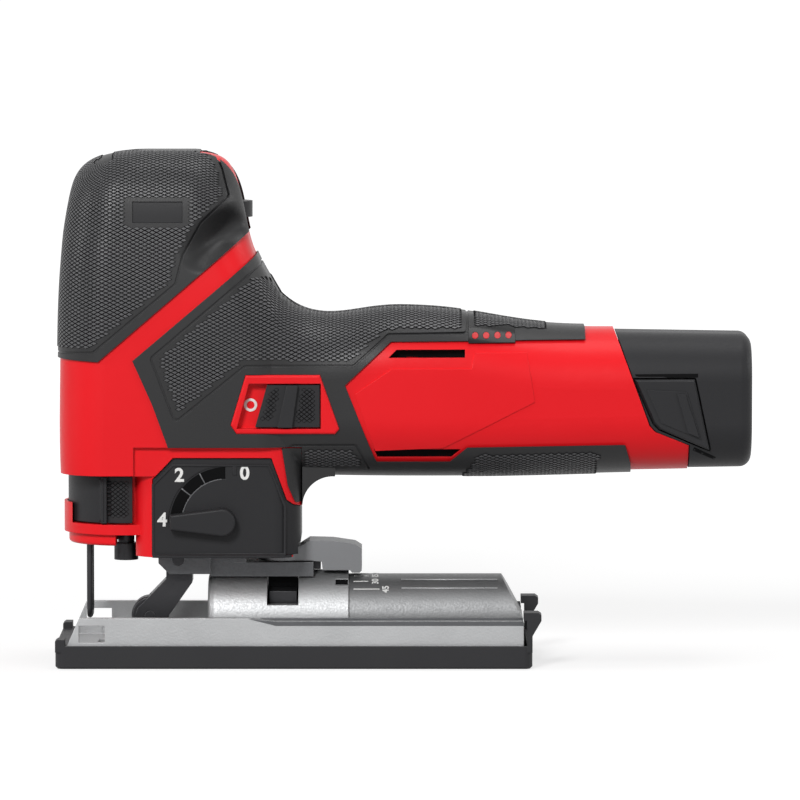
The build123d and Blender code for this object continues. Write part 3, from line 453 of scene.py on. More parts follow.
MACHINED = {
    "steel": ((176, 177, 180), (150, 151, 154), (1500.0, 1500.0, 60.0), (0.24, 0.42)),
    "copper_steel": ((176, 112, 74), (132, 84, 58), (60.0, 1500.0, 1500.0), (0.35, 0.5)),
    "bronze": ((186, 148, 92), (160, 124, 74), (1500.0, 1500.0, 60.0), (0.3, 0.45)),
}
PALETTE = {name: finish(name, *row) for name, row in CAST_AND_MOULDED.items()}
PALETTE.update({name: machined(name, *row) for name, row in MACHINED.items()})
print(len(PALETTE), "finishes")

# %% [markdown]
# Behind the head pad the rubber is dished for a thumb. The hollow could be modelled, but it is so shallow
# and its edge so soft that only its shading shows. So the head grips get the grip rubber with a second bump
# under its grain: a round gradient, stretched and leaned, that presses the surface in.

# %% Thumb rest
THUMB_AT = (-66.4, 155.6)
THUMB_REACH = (17.0, 10.5)
THUMB_LEAN = radians(40)
THUMB_DEPTH = 9.0


def copy_finish(slot, name):
    """A copy of a finish under its own name, and the copy's tree of nodes."""
    material = PALETTE[slot].copy()
    material.name = name
    return material, material.node_tree


THUMB_REST, tree = copy_finish("grip_rubber", "thumb_rest_rubber")
hollow_place = {
    "Location": (THUMB_AT[0] * MM, 0.0, THUMB_AT[1] * MM),
    "Rotation": (0.0, -THUMB_LEAN, 0.0),
    "Scale": (THUMB_REACH[0] * MM, 1.0, THUMB_REACH[1] * MM),
}
place = add_node(tree, "TexCoord")
side_view = add_node(tree, "VectorMath", {1: (1.0, 0.0, 1.0)}, operation="MULTIPLY")
local = add_node(tree, "Mapping", hollow_place, vector_type="TEXTURE")
hollow = add_node(tree, "TexGradient", gradient_type="SPHERICAL")
bowl = add_node(tree, "MapRange", interpolation_type="SMOOTHSTEP")
press = add_node(tree, "Bump", {"Distance": THUMB_DEPTH * MM}, invert=True)
grain = tree.nodes["grain_bump"]
link_nodes(
    tree,
    (place.outputs["Object"], side_view.inputs[0]),
    (side_view.outputs[0], local.inputs["Vector"]),
    (local.outputs[0], hollow.inputs["Vector"]),
    (hollow.outputs["Fac"], bowl.inputs["Value"]),
    (bowl.outputs["Result"], press.inputs["Height"]),
    (grain.inputs["Normal"].links[0].from_socket, press.inputs["Normal"]),
    (press.outputs["Normal"], grain.inputs["Normal"]),
)
print("thumb rest", [2 * reach for reach in THUMB_REACH], "mm")

# %% [markdown]
# The shoe is one casting, but the rear part of its round hump, between the rails, is painted darker than the
# rest: painted shade under the saddle and the lever. Splitting the mesh would cut the casting in two, so its
# finish reads the place on the shoe instead and darkens the colour between the rails, from the start of that
# part backwards.

# %% Cast shoe
# The darker rear of the hump is painted shade, a share of the cast tone.
HUMP_PAINTED_SHADE = 0.55
HUMP_SIDE = (22.0, 23.0)
HUMP_FRONT = (-20.2, -20.3)
SHOE_WITH_PAINTED_SHADE, tree = copy_finish("cast_aluminium", "cast_shoe_painted_shade")
place = add_node(tree, "TexCoord")
parts = add_node(tree, "SeparateXYZ")
across = add_node(tree, "Math", operation="ABSOLUTE")
shade_zones = []
for start, end in (HUMP_SIDE, HUMP_FRONT):
    reach = {"From Min": start * MM, "From Max": end * MM, "To Min": HUMP_PAINTED_SHADE, "To Max": 1.0}
    shade_zones.append(add_node(tree, "MapRange", reach))
either = add_node(tree, "Math", operation="MAXIMUM")
tone = add_node(tree, "VectorMath", operation="SCALE")
base_colour = tree.nodes["Principled BSDF"].inputs["Base Color"]
link_nodes(
    tree,
    (place.outputs["Object"], parts.inputs[0]),
    (parts.outputs["Y"], across.inputs[0]),
    (across.outputs[0], shade_zones[0].inputs["Value"]),
    (parts.outputs["X"], shade_zones[1].inputs["Value"]),
    (shade_zones[0].outputs["Result"], either.inputs[0]),
    (shade_zones[1].outputs["Result"], either.inputs[1]),
    (base_colour.links[0].from_socket, tone.inputs[0]),
    (either.outputs[0], tone.inputs["Scale"]),
    (tone.outputs[0], base_colour),
)
print("hump", 2 * HUMP_SIDE[0], "mm wide")

# %% [markdown]
# Prints and the knurling have finishes of their own. The knurl tops are a lighter copy of the rubber, a
# painted sheen, and the groove walls are a darker one, painted shade. The dark ink is also painted shade in
# slots, vents and gaps. Then every solid gets the finish of its material slot, apart from the head grips and
# the shoe. The solids could be coloured one by one, but the record already says what each is made of, so a
# loop over it forgets none.

# %% Inks, knurling and the solids
WHITE_INK = finish("white_ink", (248, 248, 246), (238, 238, 236), (0.45, 0.6), 2500, 0.01, 60)
# Dark ink for the scale ring and the slits, and painted shade behind the vents, in the pointer slot and
# beside the clamp.
DARK_INK_AND_SHADE = finish("dark_ink_and_painted_shade", (12, 12, 13), (9, 9, 10), (0.5, 0.65), 2500, 0.01, 60, gloss=0.05)
# Knurl tops: a lighter, glossier copy of the grip rubber, a painted sheen.
KNURL_PAINTED_SHEEN = finish("knurl", (76, 76, 78), (66, 66, 68), (0.3, 0.44), 1900, 0.03, 30, gloss=0.45)
# Groove walls: a darker copy, painted shade in the grooves.
GROOVE_PAINTED_SHADE = finish("groove_painted_shade", (18, 18, 19), (14, 14, 15), (0.55, 0.7), 1900, 0.02, 40, gloss=0.1)
SPECIAL = {"left_head_grip": THUMB_REST, "right_head_grip": THUMB_REST, "shoe": SHOE_WITH_PAINTED_SHADE}
for part in frame["record"]["subparts"]:
    slots = nodes[part["node"]].data.materials
    slots.clear()
    slots.append(SPECIAL.get(part["node"], PALETTE[part["material_slot"]]))
print(len(PALETTE), "finishes on", len(nodes), "solids")

# %% [markdown]
# Every small piece that follows is a mesh that rides on one body of the tool, so that it moves with it. A
# modifier on the solids would change the CAD shapes, and they have to stay as they are. One helper says
# what a piece is made of, and two more show a mesh with that finish on that body.

# %% Small pieces
LEFT, RIGHT = -1, 1
SIDES = {"left": LEFT, "right": RIGHT}


def made_of(slot, body="tool_body", skin=None):
    """What a small piece is made of: its finish, the body that it rides on and its material slot."""
    return skin or PALETTE[slot], body, slot


def ride_mesh(name, mesh, makings):
    material, body, slot = makings
    mesh.name = name
    mesh.materials.clear()
    mesh.materials.append(material)
    piece = bpy.data.objects.new(name, mesh)
    scene.collection.objects.link(piece)
    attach(piece, body)
    return piece


def add_piece(name, points, faces, makings, smooth=False):
    mesh = bpy.data.meshes.new(name)
    mesh.from_pydata([Vector(p) * MM for p in points], [], faces)
    mesh.polygons.foreach_set("use_smooth", [smooth] * len(mesh.polygons))
    mesh.update()
    return ride_mesh(name, mesh, makings)


print("pieces can be added on both sides:", *SIDES)

# %% [markdown]
# Most small pieces start as an outline in the side view and lie on the surface of a solid. That surface could
# be worked out from the sizes of the solid, but a ray that flies at its mesh finds it for any shape. A
# search tree makes thousands of rays quick.

# %% Outlines and rays
RAY_START = 60.0


def oblong(x_low, x_high, z_low, z_high):
    return [(x_low, z_low), (x_high, z_low), (x_high, z_high), (x_low, z_high)]


def inside_outline(outline, x, z):
    odd = False
    for (xa, za), (xb, zb) in zip(outline, outline[1:] + outline[:1]):
        if (za > z) != (zb > z) and x < xa + (xb - xa) * (z - za) / (zb - za):
            odd = not odd
    return odd


def search_tree(*names):
    """The surfaces of some solids, in millimetres, where rays can find them."""
    points, faces = [], []
    for name in names:
        mesh = nodes[name].data
        start = len(points)
        points += [v.co / MM for v in mesh.vertices]
        faces += [[start + i for i in face.vertices] for face in mesh.polygons]
    return BVHTree.FromPolygons(points, faces)


def side_hit(surface, x, z, side):
    """Where a level ray from one side first meets the surface, or None."""
    return surface.ray_cast(Vector((x, side * RAY_START, z)), Vector((0, -side, 0)))[0]


print("level rays start", RAY_START, "mm from the middle")

# %% [markdown]
# The rubber is knurled inside its bordered pads. A bump map would vanish at the outline of the tool, so the
# knurling is real relief. A grid is laid over a pad, and a ray finds the place and the slope of the rubber
# under every grid point. Points that a ray meets too steeply, or too near the middle, are left out.

# %% A grid on the rubber
GRID_RAY = 40.0
STEEPEST = -0.35
MIDDLE_GAP = 0.5


def surface_grid(solid, ray_at, half_wide, half_high, wanted, side):
    """A function that gives the place and the normal of the solid at a grid point, or None off the pad."""
    surface = search_tree(solid)
    mirror = Vector((1, -side, 1))
    hits = {}

    def grid_point(i, j):
        if (i, j) not in hits:
            origin, aim = ray_at(i * half_wide, j * half_high)
            aim = (aim * mirror).normalized()
            place, normal = surface.ray_cast(origin * mirror, aim, GRID_RAY)[:2]
            if place is not None and normal.dot(aim) > 0:
                normal = -normal
            good = place is not None and normal.dot(aim) < STEEPEST and wanted(place.x, place.z)
            hits[(i, j)] = (place, normal) if good and place.y * side > MIDDLE_GAP else None
        return hits[(i, j)]

    return grid_point


print("grid rays are", GRID_RAY, "mm long")

# %% [markdown]
# The knurling is made of small flat diamonds, about 2.8 mm wide and 1.4 mm high, in staggered rows. Copies of
# one diamond would stand askew on a curved pad, so each is a low frustum on its own four grid points: its
# foot follows the rubber, and a smaller top rises over it. The walls get the darker groove finish, which is
# painted shade in the grooves.

# %% Diamonds on the grid
DIAMOND = (1.4, 0.7, 0.3)
DIAMOND_FOOT = 0.03
DIAMOND_TOP = 0.74
LONGEST_REACH = 3.5
CROWN = cad_box[1][2] / MM - 0.02


def knurl(name, solid, ray_at, u_range, v_range, wanted, side, makings, size=DIAMOND):
    """Lays diamonds where the rays of ray_at(u, v) meet the solid and wanted(x, z) holds."""
    half_wide, half_high, rise = size
    grid_point = surface_grid(solid, ray_at, half_wide, half_high, wanted, side)
    points, tops, walls, number = [], [], [], {}

    def foot(i, j):
        if (i, j) not in number:
            place, normal = grid_point(i, j)
            number[(i, j)] = len(points)
            points.append(place + normal * DIAMOND_FOOT)
        return number[(i, j)]

    u_low, u_high = [round(u / half_wide) for u in u_range]
    v_low, v_high = [round(v / half_high) for v in v_range]
    for i in range(u_low, u_high + 1):
        for j in range(v_low, v_high + 1):
            around = [(i + 1, j), (i, j + 1), (i - 1, j), (i, j - 1)]
            if (i + j) % 2 or not all(grid_point(*c) for c in around + [(i, j)]):
                continue
            centre, normal = grid_point(i, j)
            if max((grid_point(*c)[0] - centre).length for c in around) > LONGEST_REACH:
                continue
            low, high = [foot(*c) for c in around], []
            for place, lean in [grid_point(*c) for c in around]:
                high.append(len(points))
                lift = normal.lerp(lean, 0.5) * (DIAMOND_FOOT + rise)
                points.append(centre.lerp(place, DIAMOND_TOP) + lift)
            tops.append(high[::-side])
            for wall in zip(low, low[1:] + low[:1], high[1:] + high[:1], high):
                walls.append(wall[::-side])
    for point in points:
        point.z = min(point.z, CROWN)
    piece = add_piece(name, points, tops + walls, makings)
    # The walls take the darker finish: painted shade in the grooves.
    piece.data.materials.append(GROOVE_PAINTED_SHADE)
    piece.data.polygons.foreach_set("material_index", [0] * len(tops) + [1] * len(walls))
    print(name, len(tops), "diamonds")


print("diamonds are", 2 * DIAMOND[0], "by", 2 * DIAMOND[1], "mm")

# %% [markdown]
# The head pad runs from the side round the nose. A grid that was projected from the side would stretch
# there, so the grid follows the head's own plan outline, a rounded rectangle, and tips over towards the
# crown. The rows then stay even where the surface turns. The badge plate keeps a clear field.

# %% Knurled head pads
HEAD_FRONT, HEAD_HALF, HEAD_CORNER = -124.2, 28.2, 17.0
DOME_START, DOME_RADIUS = 168.0, 16.0
CORNER_TIP, FRONT_TIP = 1.35, 1.5
HEAD_STAND = 12.0
HEAD_RUN, HEAD_RISE = (0.8, 96), (110, 204)
NO_SURFACE = (Vector((0, 0, 900)), Vector((0, 0, 1)))
HEAD_PAD = [
    (-74.0, 190.0),
    (-67.0, 180.0),
    (-64.6, 170.6),
    (-74.4, 160.6),
    (-80.8, 149.6),
    (-83.5, 139.6),
    (-112.6, 115.4),
    (-131.0, 114.6),
    (-131.0, 190.0),
]
BADGE_ROOM = oblong(-99.0, -78.6, 159.7, 169.7)


def head_ray(u, v):
    """A ray at the head, u along its plan outline from the nose and v upwards, then over the dome."""
    front_run = HEAD_HALF - HEAD_CORNER
    bend = HEAD_CORNER * pi / 2
    if u < front_run:
        place, out_x, out_y = (HEAD_FRONT, -u), -1.0, 0.0
    elif u < front_run + bend:
        turn = (u - front_run) / HEAD_CORNER
        out_x, out_y = -cos(turn), -sin(turn)
        place = (HEAD_FRONT + HEAD_CORNER + HEAD_CORNER * out_x, -front_run + HEAD_CORNER * out_y)
    else:
        place, out_x, out_y = (HEAD_FRONT + HEAD_CORNER + u - front_run - bend, -HEAD_HALF), 0.0, -1.0
    tip = max(0.0, (v - DOME_START) / DOME_RADIUS)
    if tip > CORNER_TIP and front_run <= u < front_run + bend or tip > FRONT_TIP and u < front_run:
        return NO_SURFACE
    inward = DOME_RADIUS + max(0.0, tip - pi / 2) * DOME_RADIUS
    tip = min(tip, pi / 2)
    out = Vector((out_x * cos(tip), out_y * cos(tip), sin(tip)))
    base = Vector((place[0] - out_x * inward, place[1] - out_y * inward, min(v, DOME_START)))
    return base + out * (DOME_RADIUS + HEAD_STAND), -out


def on_head_pad(x, z):
    return inside_outline(HEAD_PAD, x, z) and not inside_outline(BADGE_ROOM, x, z)


# The rubber knurl tops carry the painted sheen, and their walls carry painted shade.
RUBBER_KNURL_SHEEN = made_of("grip_rubber", skin=KNURL_PAINTED_SHEEN)
rays = (head_ray, HEAD_RUN, HEAD_RISE, on_head_pad)
for name, side in SIDES.items():
    knurl(name + "_head_knurl", name + "_head_grip", *rays, side, RUBBER_KNURL_SHEEN)

# %% [markdown]
# The barrel pad starts on the flat side of the head and wraps over the round barrel. The height where the
# side begins to curve drops from the head to the barrel, and the grid follows that line, so that the rows
# don't crowd at the top. Smaller pads lie low on the side, at the front and the back, and on the crest.

# %% Knurled barrel pads
BARREL_HALF, BARREL_CORNER = 27.8, 21.0
BARREL_STAND = 14.0
NECK_START, NECK_LENGTH = -56.0, 20.0
SIDE_FOOT, BARREL_SIDE, HEAD_SIDE = 90.0, 105.0, 140.0
BARREL_RUN, BARREL_RISE = (-92, 74), (40, 165)
SIDE_PAD = [
    (-89.6, 112.0),
    (-82.2, 91.2),
    (-57.8, 110.6),
    (-18.7, 110.6),
    (-6.1, 121.8),
    (21.8, 122.0),
    (21.8, 140.0),
    (-40.0, 141.4),
    (-55.4, 141.4),
]
LOW_PAD = [(-38.0, 72.2), (-41.0, 79.6), (-17.9, 79.7), (-13.6, 72.2)]
REAR_PAD = [(26.0, 77.6), (71.6, 78.0), (71.0, 68.0), (20.0, 68.0)]
CREST_PAD = [(24.6, 122.9), (53.0, 121.6), (53.0, 140.0), (24.6, 140.0)]


def side_height(u):
    """Height at which the flat side starts to curve over: high on the head, lower along the barrel."""
    share = min(1.0, max(0.0, (u - NECK_START) / NECK_LENGTH))
    share = share * share * (3 - 2 * share)
    return HEAD_SIDE + (BARREL_SIDE - HEAD_SIDE) * share


def barrel_ray(u, v):
    """A ray at the barrel, u along it and v upwards, then round its curve."""
    middle = min(max(v, SIDE_FOOT), side_height(u))
    turn = (v - middle) / BARREL_CORNER
    out = Vector((0.0, -cos(turn), sin(turn)))
    base = Vector((u, -(BARREL_HALF - BARREL_CORNER), middle))
    return base + out * (BARREL_CORNER + BARREL_STAND), -out


def on_barrel_pad(x, z):
    return any(inside_outline(pad, x, z) for pad in (SIDE_PAD, LOW_PAD, REAR_PAD, CREST_PAD))


rays = (barrel_ray, BARREL_RUN, BARREL_RISE, on_barrel_pad)
for name, side in SIDES.items():
    knurl(name + "_barrel_knurl", name + "_barrel_grip", *rays, side, RUBBER_KNURL_SHEEN)

# %% [markdown]
# Flat trim could be cut from cubes, but a Blender curve does it in one step: it fills an outline with its
# holes, gives it thickness and rounds its rims. The curve then turns into a mesh, so that a mirrored plate
# can have its faces turned outwards again.

# %% Plates
THINNEST = 0.002


def mesh_of_curve(curve, turn):
    maker = bpy.data.objects.new("maker", curve)
    scene.collection.objects.link(maker)
    bpy.context.view_layer.update()
    mesh = bpy.data.meshes.new_from_object(maker.evaluated_get(bpy.context.evaluated_depsgraph_get()))
    bpy.data.objects.remove(maker)
    bpy.data.curves.remove(curve)
    mesh.transform(turn)
    return mesh


def facing(side, depth):
    """Turns a drawing in (x, z) to the left side or the right side, at a depth in mm from the middle."""
    turn = Matrix.Rotation(radians(90), 4, "X")
    if side > 0:
        turn = Matrix.Diagonal((1, -1, 1, 1)) @ turn
    return Matrix.Translation((0, side * depth * MM, 0)) @ turn


def plate(name, outlines, turn, makings, thick, bevel):
    """A plate from an outline and its holes, standing on the plane z = 0 of its own drawing."""
    curve = bpy.data.curves.new(name, "CURVE")
    curve.dimensions = "2D"
    curve.fill_mode = "BOTH"
    curve.extrude = max(thick - 2 * bevel, THINNEST) / 2 * MM
    curve.bevel_depth = bevel * MM
    curve.bevel_resolution = 1
    curve.offset = -bevel * MM
    for outline in outlines:
        line = curve.splines.new("POLY")
        line.points.add(len(outline) - 1)
        for point, (x, z) in zip(line.points, outline):
            point.co = (x * MM, z * MM, 0, 1)
        line.use_cyclic_u = True
    lift = Matrix.Translation((0, 0, thick / 2 * MM))
    mesh = mesh_of_curve(curve, turn @ lift)
    if turn.determinant() < 0:
        mesh.flip_normals()
    return ride_mesh(name, mesh, makings)


print("plates are at least", THINNEST, "mm thick between their bevels")

# %% [markdown]
# Printed figures could be a picture on the surface, but a picture blurs close up. A text object has true
# outlines, so a mark is a short text with a hair of thickness that turns into a mesh as a plate does.

# %% Marks
PRINT, PRINT_BEVEL = 0.06, 0.01


def mark(name, text, size, place, turn, makings, spin=0.0, thick=0.03, bold=0.0):
    """A short printed text, centred on a place of its own drawing."""
    curve = bpy.data.curves.new(name, "FONT")
    curve.body = text
    curve.size = size * MM
    curve.align_x = "CENTER"
    curve.align_y = "CENTER"
    curve.extrude = thick / 2 * MM
    curve.offset = bold * MM
    x, z = place
    put = Matrix.Translation((x * MM, z * MM, thick / 2 * MM)) @ Matrix.Rotation(spin, 4, "Z")
    return ride_mesh(name, mesh_of_curve(curve, turn @ put), makings)


print("print is", PRINT, "mm thick")

# %% [markdown]
# Trim on a curved side can't be flat. A shrinkwrap modifier would pull a square grid onto the solid but fray
# the edge of the trim. So the outline itself is divided into short steps and filled with a net of
# triangles that keeps every point of the rim.

# %% A net inside an outline
RIM_ROOM = 0.45
MERGE = 1e-6


def filled_outline(outline, step):
    """Points on the rim and inside an outline, about a step apart, and the triangles between them."""
    rim = []
    for (xa, za), (xb, zb) in zip(outline, outline[1:] + outline[:1]):
        count = max(1, round(sqrt((xb - xa) ** 2 + (zb - za) ** 2) / step))
        rim += [Vector((xa + (xb - xa) * k / count, za + (zb - za) * k / count)) for k in range(count)]
    low = [min(v[k] for v in rim) for k in (0, 1)]
    high = [max(v[k] for v in rim) for k in (0, 1)]
    inner = []
    for i in range(int((high[0] - low[0]) / step)):
        for j in range(int((high[1] - low[1]) / step)):
            spot = Vector((low[0] + (i + 0.5) * step, low[1] + (j + 0.5) * step))
            if inside_outline(outline, *spot) and min((spot - v).length for v in rim) > RIM_ROOM * step:
                inner.append(spot)
    net = delaunay_2d_cdt(rim + inner, [], [list(range(len(rim)))], 1, MERGE)
    return net[0], net[2]


print("nets keep", RIM_ROOM, "of a step clear inside their rims")

# %% [markdown]
# A drape carries that net to the solid: a ray takes each point to the surface, the skin stands off by a small
# lift, and a wall closes its rim towards the solid. The skin could be flat-shaded, but it would show its
# triangles, so it shades smoothly and only its sharp rim is marked as an edge.

# %% Drapes
FIRST_DEPTH = 25.0
SHARP_EDGE = radians(35)


def drape(name, outline, solid, side, makings, lift, thick, step):
    """A skin over a solid, seen from one side, that stands off by lift and is thick millimetres deep."""
    surface = search_tree(solid)
    spots, faces = filled_outline(outline, step)
    top, depth = [], side * FIRST_DEPTH
    for spot in spots:
        place = side_hit(surface, spot.x, spot.y, side)
        depth = place.y if place is not None else depth
        top.append(Vector((spot.x, depth + side * lift, spot.y)))
    edges = set((a, b) for face in faces for a, b in zip(face, face[1:] + face[:1]))
    border = [(a, b) for a, b in edges if (b, a) not in edges]
    foot = {}
    for corner in [c for edge in border for c in edge]:
        foot.setdefault(corner, len(top) + len(foot))
    points = top + [top[corner] - Vector((0, side * thick, 0)) for corner in foot]
    skin = [tuple(face) for face in faces] + [(b, a, foot[a], foot[b]) for a, b in border]
    piece = add_piece(name, points, [face[::-side] for face in skin], makings, True)
    piece.data.set_sharp_from_angle(angle=SHARP_EDGE)


print("drapes keep edges over", round(degrees(SHARP_EDGE)), "degrees sharp")

# %% [markdown]
# The gear case is a dark moulding with a bevelled rim round its face, and it sits on a thin dark sole. The
# rim is a plate with a hole. The sole runs along the foot of the shell, which curves, so a plate would stand
# off there. It is a ribbon instead: rays find the shell along one level, and four points make its section.

# %% Rim and sole of the gear case
CASE_SIDE = 24.75
CASE_OUTER = [(-91.2, 66.2), (-83.8, 73.6), (-48.6, 73.6), (-42.6, 58.4), (-42.6, 40.4), (-91.2, 40.4)]
CASE_INNER = [(-90.3, 65.8), (-83.4, 72.7), (-49.2, 72.7), (-43.5, 58.2), (-43.5, 41.3), (-90.3, 41.3)]
SOLE_START, SOLE_END, SOLE_LEVEL, SOLE_STEPS = -91.0, -40.6, 40.0, 84
SOLE_SECTION = ((0.02, 39.6), (0.16, 39.7), (0.16, 40.48), (0.02, 40.58))


def case_sole(name, side):
    surface = search_tree(name + "_shell")
    points, quads = [], []
    for k in range(SOLE_STEPS + 1):
        x = SOLE_START + (SOLE_END - SOLE_START) * k / SOLE_STEPS
        depth = side_hit(surface, x, SOLE_LEVEL, side).y
        points += [(x, depth + side * stand, z) for stand, z in SOLE_SECTION]
    ring = len(SOLE_SECTION)
    for first in [k * ring + r for k in range(SOLE_STEPS) for r in range(ring - 1)]:
        quads.append((first, first + ring, first + ring + 1, first + 1)[::-side])
    add_piece(name + "_case_sole", points, quads, made_of("case_plastic"))


rim = [CASE_OUTER, CASE_INNER]
for name, side in SIDES.items():
    turn = facing(side, CASE_SIDE)
    plate(name + "_case_rim", rim, turn, made_of("case_plastic"), thick=0.5, bevel=0.22)
    case_sole(name, side)
print("rim and sole on both sides of the gear case")

# %% [markdown]
# On the left face of the case a sunk quarter ring shows the pendulum stroke, with two ticks and the plain
# figures 0, 2 and 4, and a bright arc along its inner edge, which is a painted highlight. A picture could
# hold the print, but thin plates and letters stay sharp close up. The print lies a few hundredths of a
# millimetre proud, so that no two faces share a plane.

# %% Scale of the pendulum stroke
RING_AT, RING_INNER, RING_OUTER, RING_SPAN = (-64.3, 52.1), 16.2, 20.4, (91, 178)
RING_FLOOR, ARC_DEPTH, TICK_DEPTH, FIGURE_DEPTH = 24.38, 24.74, 24.4, 24.79
ARC_INNER, ARC_OUTER, ARC_SPAN, ARC_STEPS = 15.95, 16.3, (96, 168), 24
TICK_ANGLES, TICK_TIP, TICK_HALF = (118, 142), 20.5, 0.2
FIGURES = {"0": (-57.6, 70.2), "2": (-81.2, 69.4), "4": (-87.4, 53.2)}
FIGURE_SIZE, FIGURE_BOLD = 6.8, 0.22
ZERO_TICK = oblong(-61.9, -60.5, 69.6, 73.0)


def arc_points(centre, radius, start, end, count):
    angles = [radians(start + (end - start) * k / count) for k in range(count + 1)]
    return [(centre[0] + radius * cos(a), centre[1] + radius * sin(a)) for a in angles]


def bow(inner, outer, start, end):
    """A curved band of the scale, between two radii and two angles."""
    outside = arc_points(RING_AT, outer, start, end, ARC_STEPS)
    return outside + arc_points(RING_AT, inner, end, start, ARC_STEPS)


# Bright metal for the ticks, and for the painted highlight on the ring's inner edge.
bright_ticks_and_highlight = made_of("bracket_metal")
sunk = bow(RING_INNER, RING_OUTER, *RING_SPAN)
sunk_ink = made_of("gauge_plastic", skin=DARK_INK_AND_SHADE)
plate("scale_ring", [sunk], facing(LEFT, RING_FLOOR), sunk_ink, PRINT, PRINT_BEVEL)
# A painted highlight along the inner edge of the sunk ring.
rim_highlight = bow(ARC_INNER, ARC_OUTER, *ARC_SPAN)
plate("scale_rim_highlight", [rim_highlight], facing(LEFT, ARC_DEPTH), bright_ticks_and_highlight, thick=0.1, bevel=PRINT_BEVEL)
for count, angle in enumerate(TICK_ANGLES):
    out = Vector((cos(radians(angle)), sin(radians(angle))))
    across = Vector((-out.y, out.x))
    corners = oblong(RING_INNER, TICK_TIP, -TICK_HALF, TICK_HALF)
    tick = [tuple(Vector(RING_AT) + out * r + across * w) for r, w in corners]
    plate(f"scale_tick_{count}", [tick], facing(LEFT, TICK_DEPTH), bright_ticks_and_highlight, thick=0.32, bevel=0.05)
figure_ink = made_of("gauge_plastic", skin=WHITE_INK)
for text, spot in FIGURES.items():
    mark("figure_" + text, text, FIGURE_SIZE, spot, facing(LEFT, FIGURE_DEPTH), figure_ink, bold=FIGURE_BOLD)
zero_turn = facing(LEFT, CASE_SIDE)
plate("zero_tick", [ZERO_TICK], zero_turn, made_of("dark_plastic"), thick=0.45, bevel=0.12)
print("stroke scale with", len(FIGURES), "figures")

# %% [markdown]
# The switch is a slider with a slanting ridge between two knurled fields, one slider on each side, and the
# off mark beside it is a ring. The fields are flat, so their rays are level. The knurling helper serves
# again, with smaller diamonds in the slider's own plastic.

# %% Switch fields and off rings
SMALL_DIAMOND = (1.0, 0.8, 0.24)
SLIDER_FIELDS = (
    [(-48.4, 101.6), (-43.9, 101.6), (-47.0, 89.3), (-52.6, 89.3)],
    [(-37.7, 101.6), (-31.2, 101.6), (-31.2, 88.1), (-39.8, 88.6)],
)
SLIDER_RUN, SLIDER_RISE = (-54, -30), (87, 103)
OFF_AT, OFF_RADII, OFF_DEPTH, OFF_POINTS = (-55.4, 95.1), (2.4, 1.4), 25.41, 32


def straight_ray(u, v):
    return Vector((u, -RAY_START, v)), Vector((0, 1, 0))


def on_slider(x, z):
    return any(inside_outline(field, x, z) for field in SLIDER_FIELDS)


def circle(centre, radius, count):
    return arc_points(centre, radius, 0, 360 - 360 / count, count - 1)


off_ring = [circle(OFF_AT, radius, OFF_POINTS) for radius in OFF_RADII]
off_ink = made_of("red_shell", skin=WHITE_INK)
slider = made_of("lever_plastic", "switch_body")
rays = (straight_ray, SLIDER_RUN, SLIDER_RISE, on_slider)
for name, side in SIDES.items():
    knurl(name + "_switch_knurl", name + "_slider", *rays, side, slider, SMALL_DIAMOND)
    plate(name + "_off_ring", off_ring, facing(side, OFF_DEPTH), off_ink, PRINT, PRINT_BEVEL)
print("switch fields and off rings on both sides")

# %% [markdown]
# The blade-release lever wraps round the nose on the left. Its thumb pad is knurled, and a rib at the front
# stops the thumb. The pad lies on a round wall, so its rays point at the wall's axis, and the rib is a
# drape, which bends with the wall.

# %% Release lever
LEVER_AXIS, LEVER_RADIUS, LEVER_STAND = -101.5, 21.0, 36
LEVER_PAD_X, LEVER_PAD_Z = (-108.2, -99.0), (52.8, 67.6)
LEVER_RUN, LEVER_RISE = (-8, 4), (52, 69)
LEVER_RIB = oblong(-110.8, -108.9, 52.4, 67.8)


def lever_ray(u, v):
    turn = u / LEVER_RADIUS
    out = Vector((sin(turn), -cos(turn), 0))
    return Vector((LEVER_AXIS, 0, v)) + out * LEVER_STAND, -out


def on_lever_pad(x, z):
    return LEVER_PAD_X[0] < x < LEVER_PAD_X[1] and LEVER_PAD_Z[0] < z < LEVER_PAD_Z[1]


lever = made_of("lever_plastic", "release_body")
rays = (lever_ray, LEVER_RUN, LEVER_RISE, on_lever_pad)
knurl("lever_knurl", "release_lever", *rays, LEFT, lever, SMALL_DIAMOND)
drape("lever_rib", LEVER_RIB, "release_lever", LEFT, lever, lift=0.4, thick=0.5, step=0.95)
print("pad and rib of the release lever")

# %% [markdown]
# The red side panel carries a shallow raised field with slanting ends, and the rubber runs down over the
# corner of the gear-case frame. Both lie on surfaces that curve, so both are drapes. Behind the vents a
# dark plate hides the empty shell: painted shade for the dark inside of the tool.

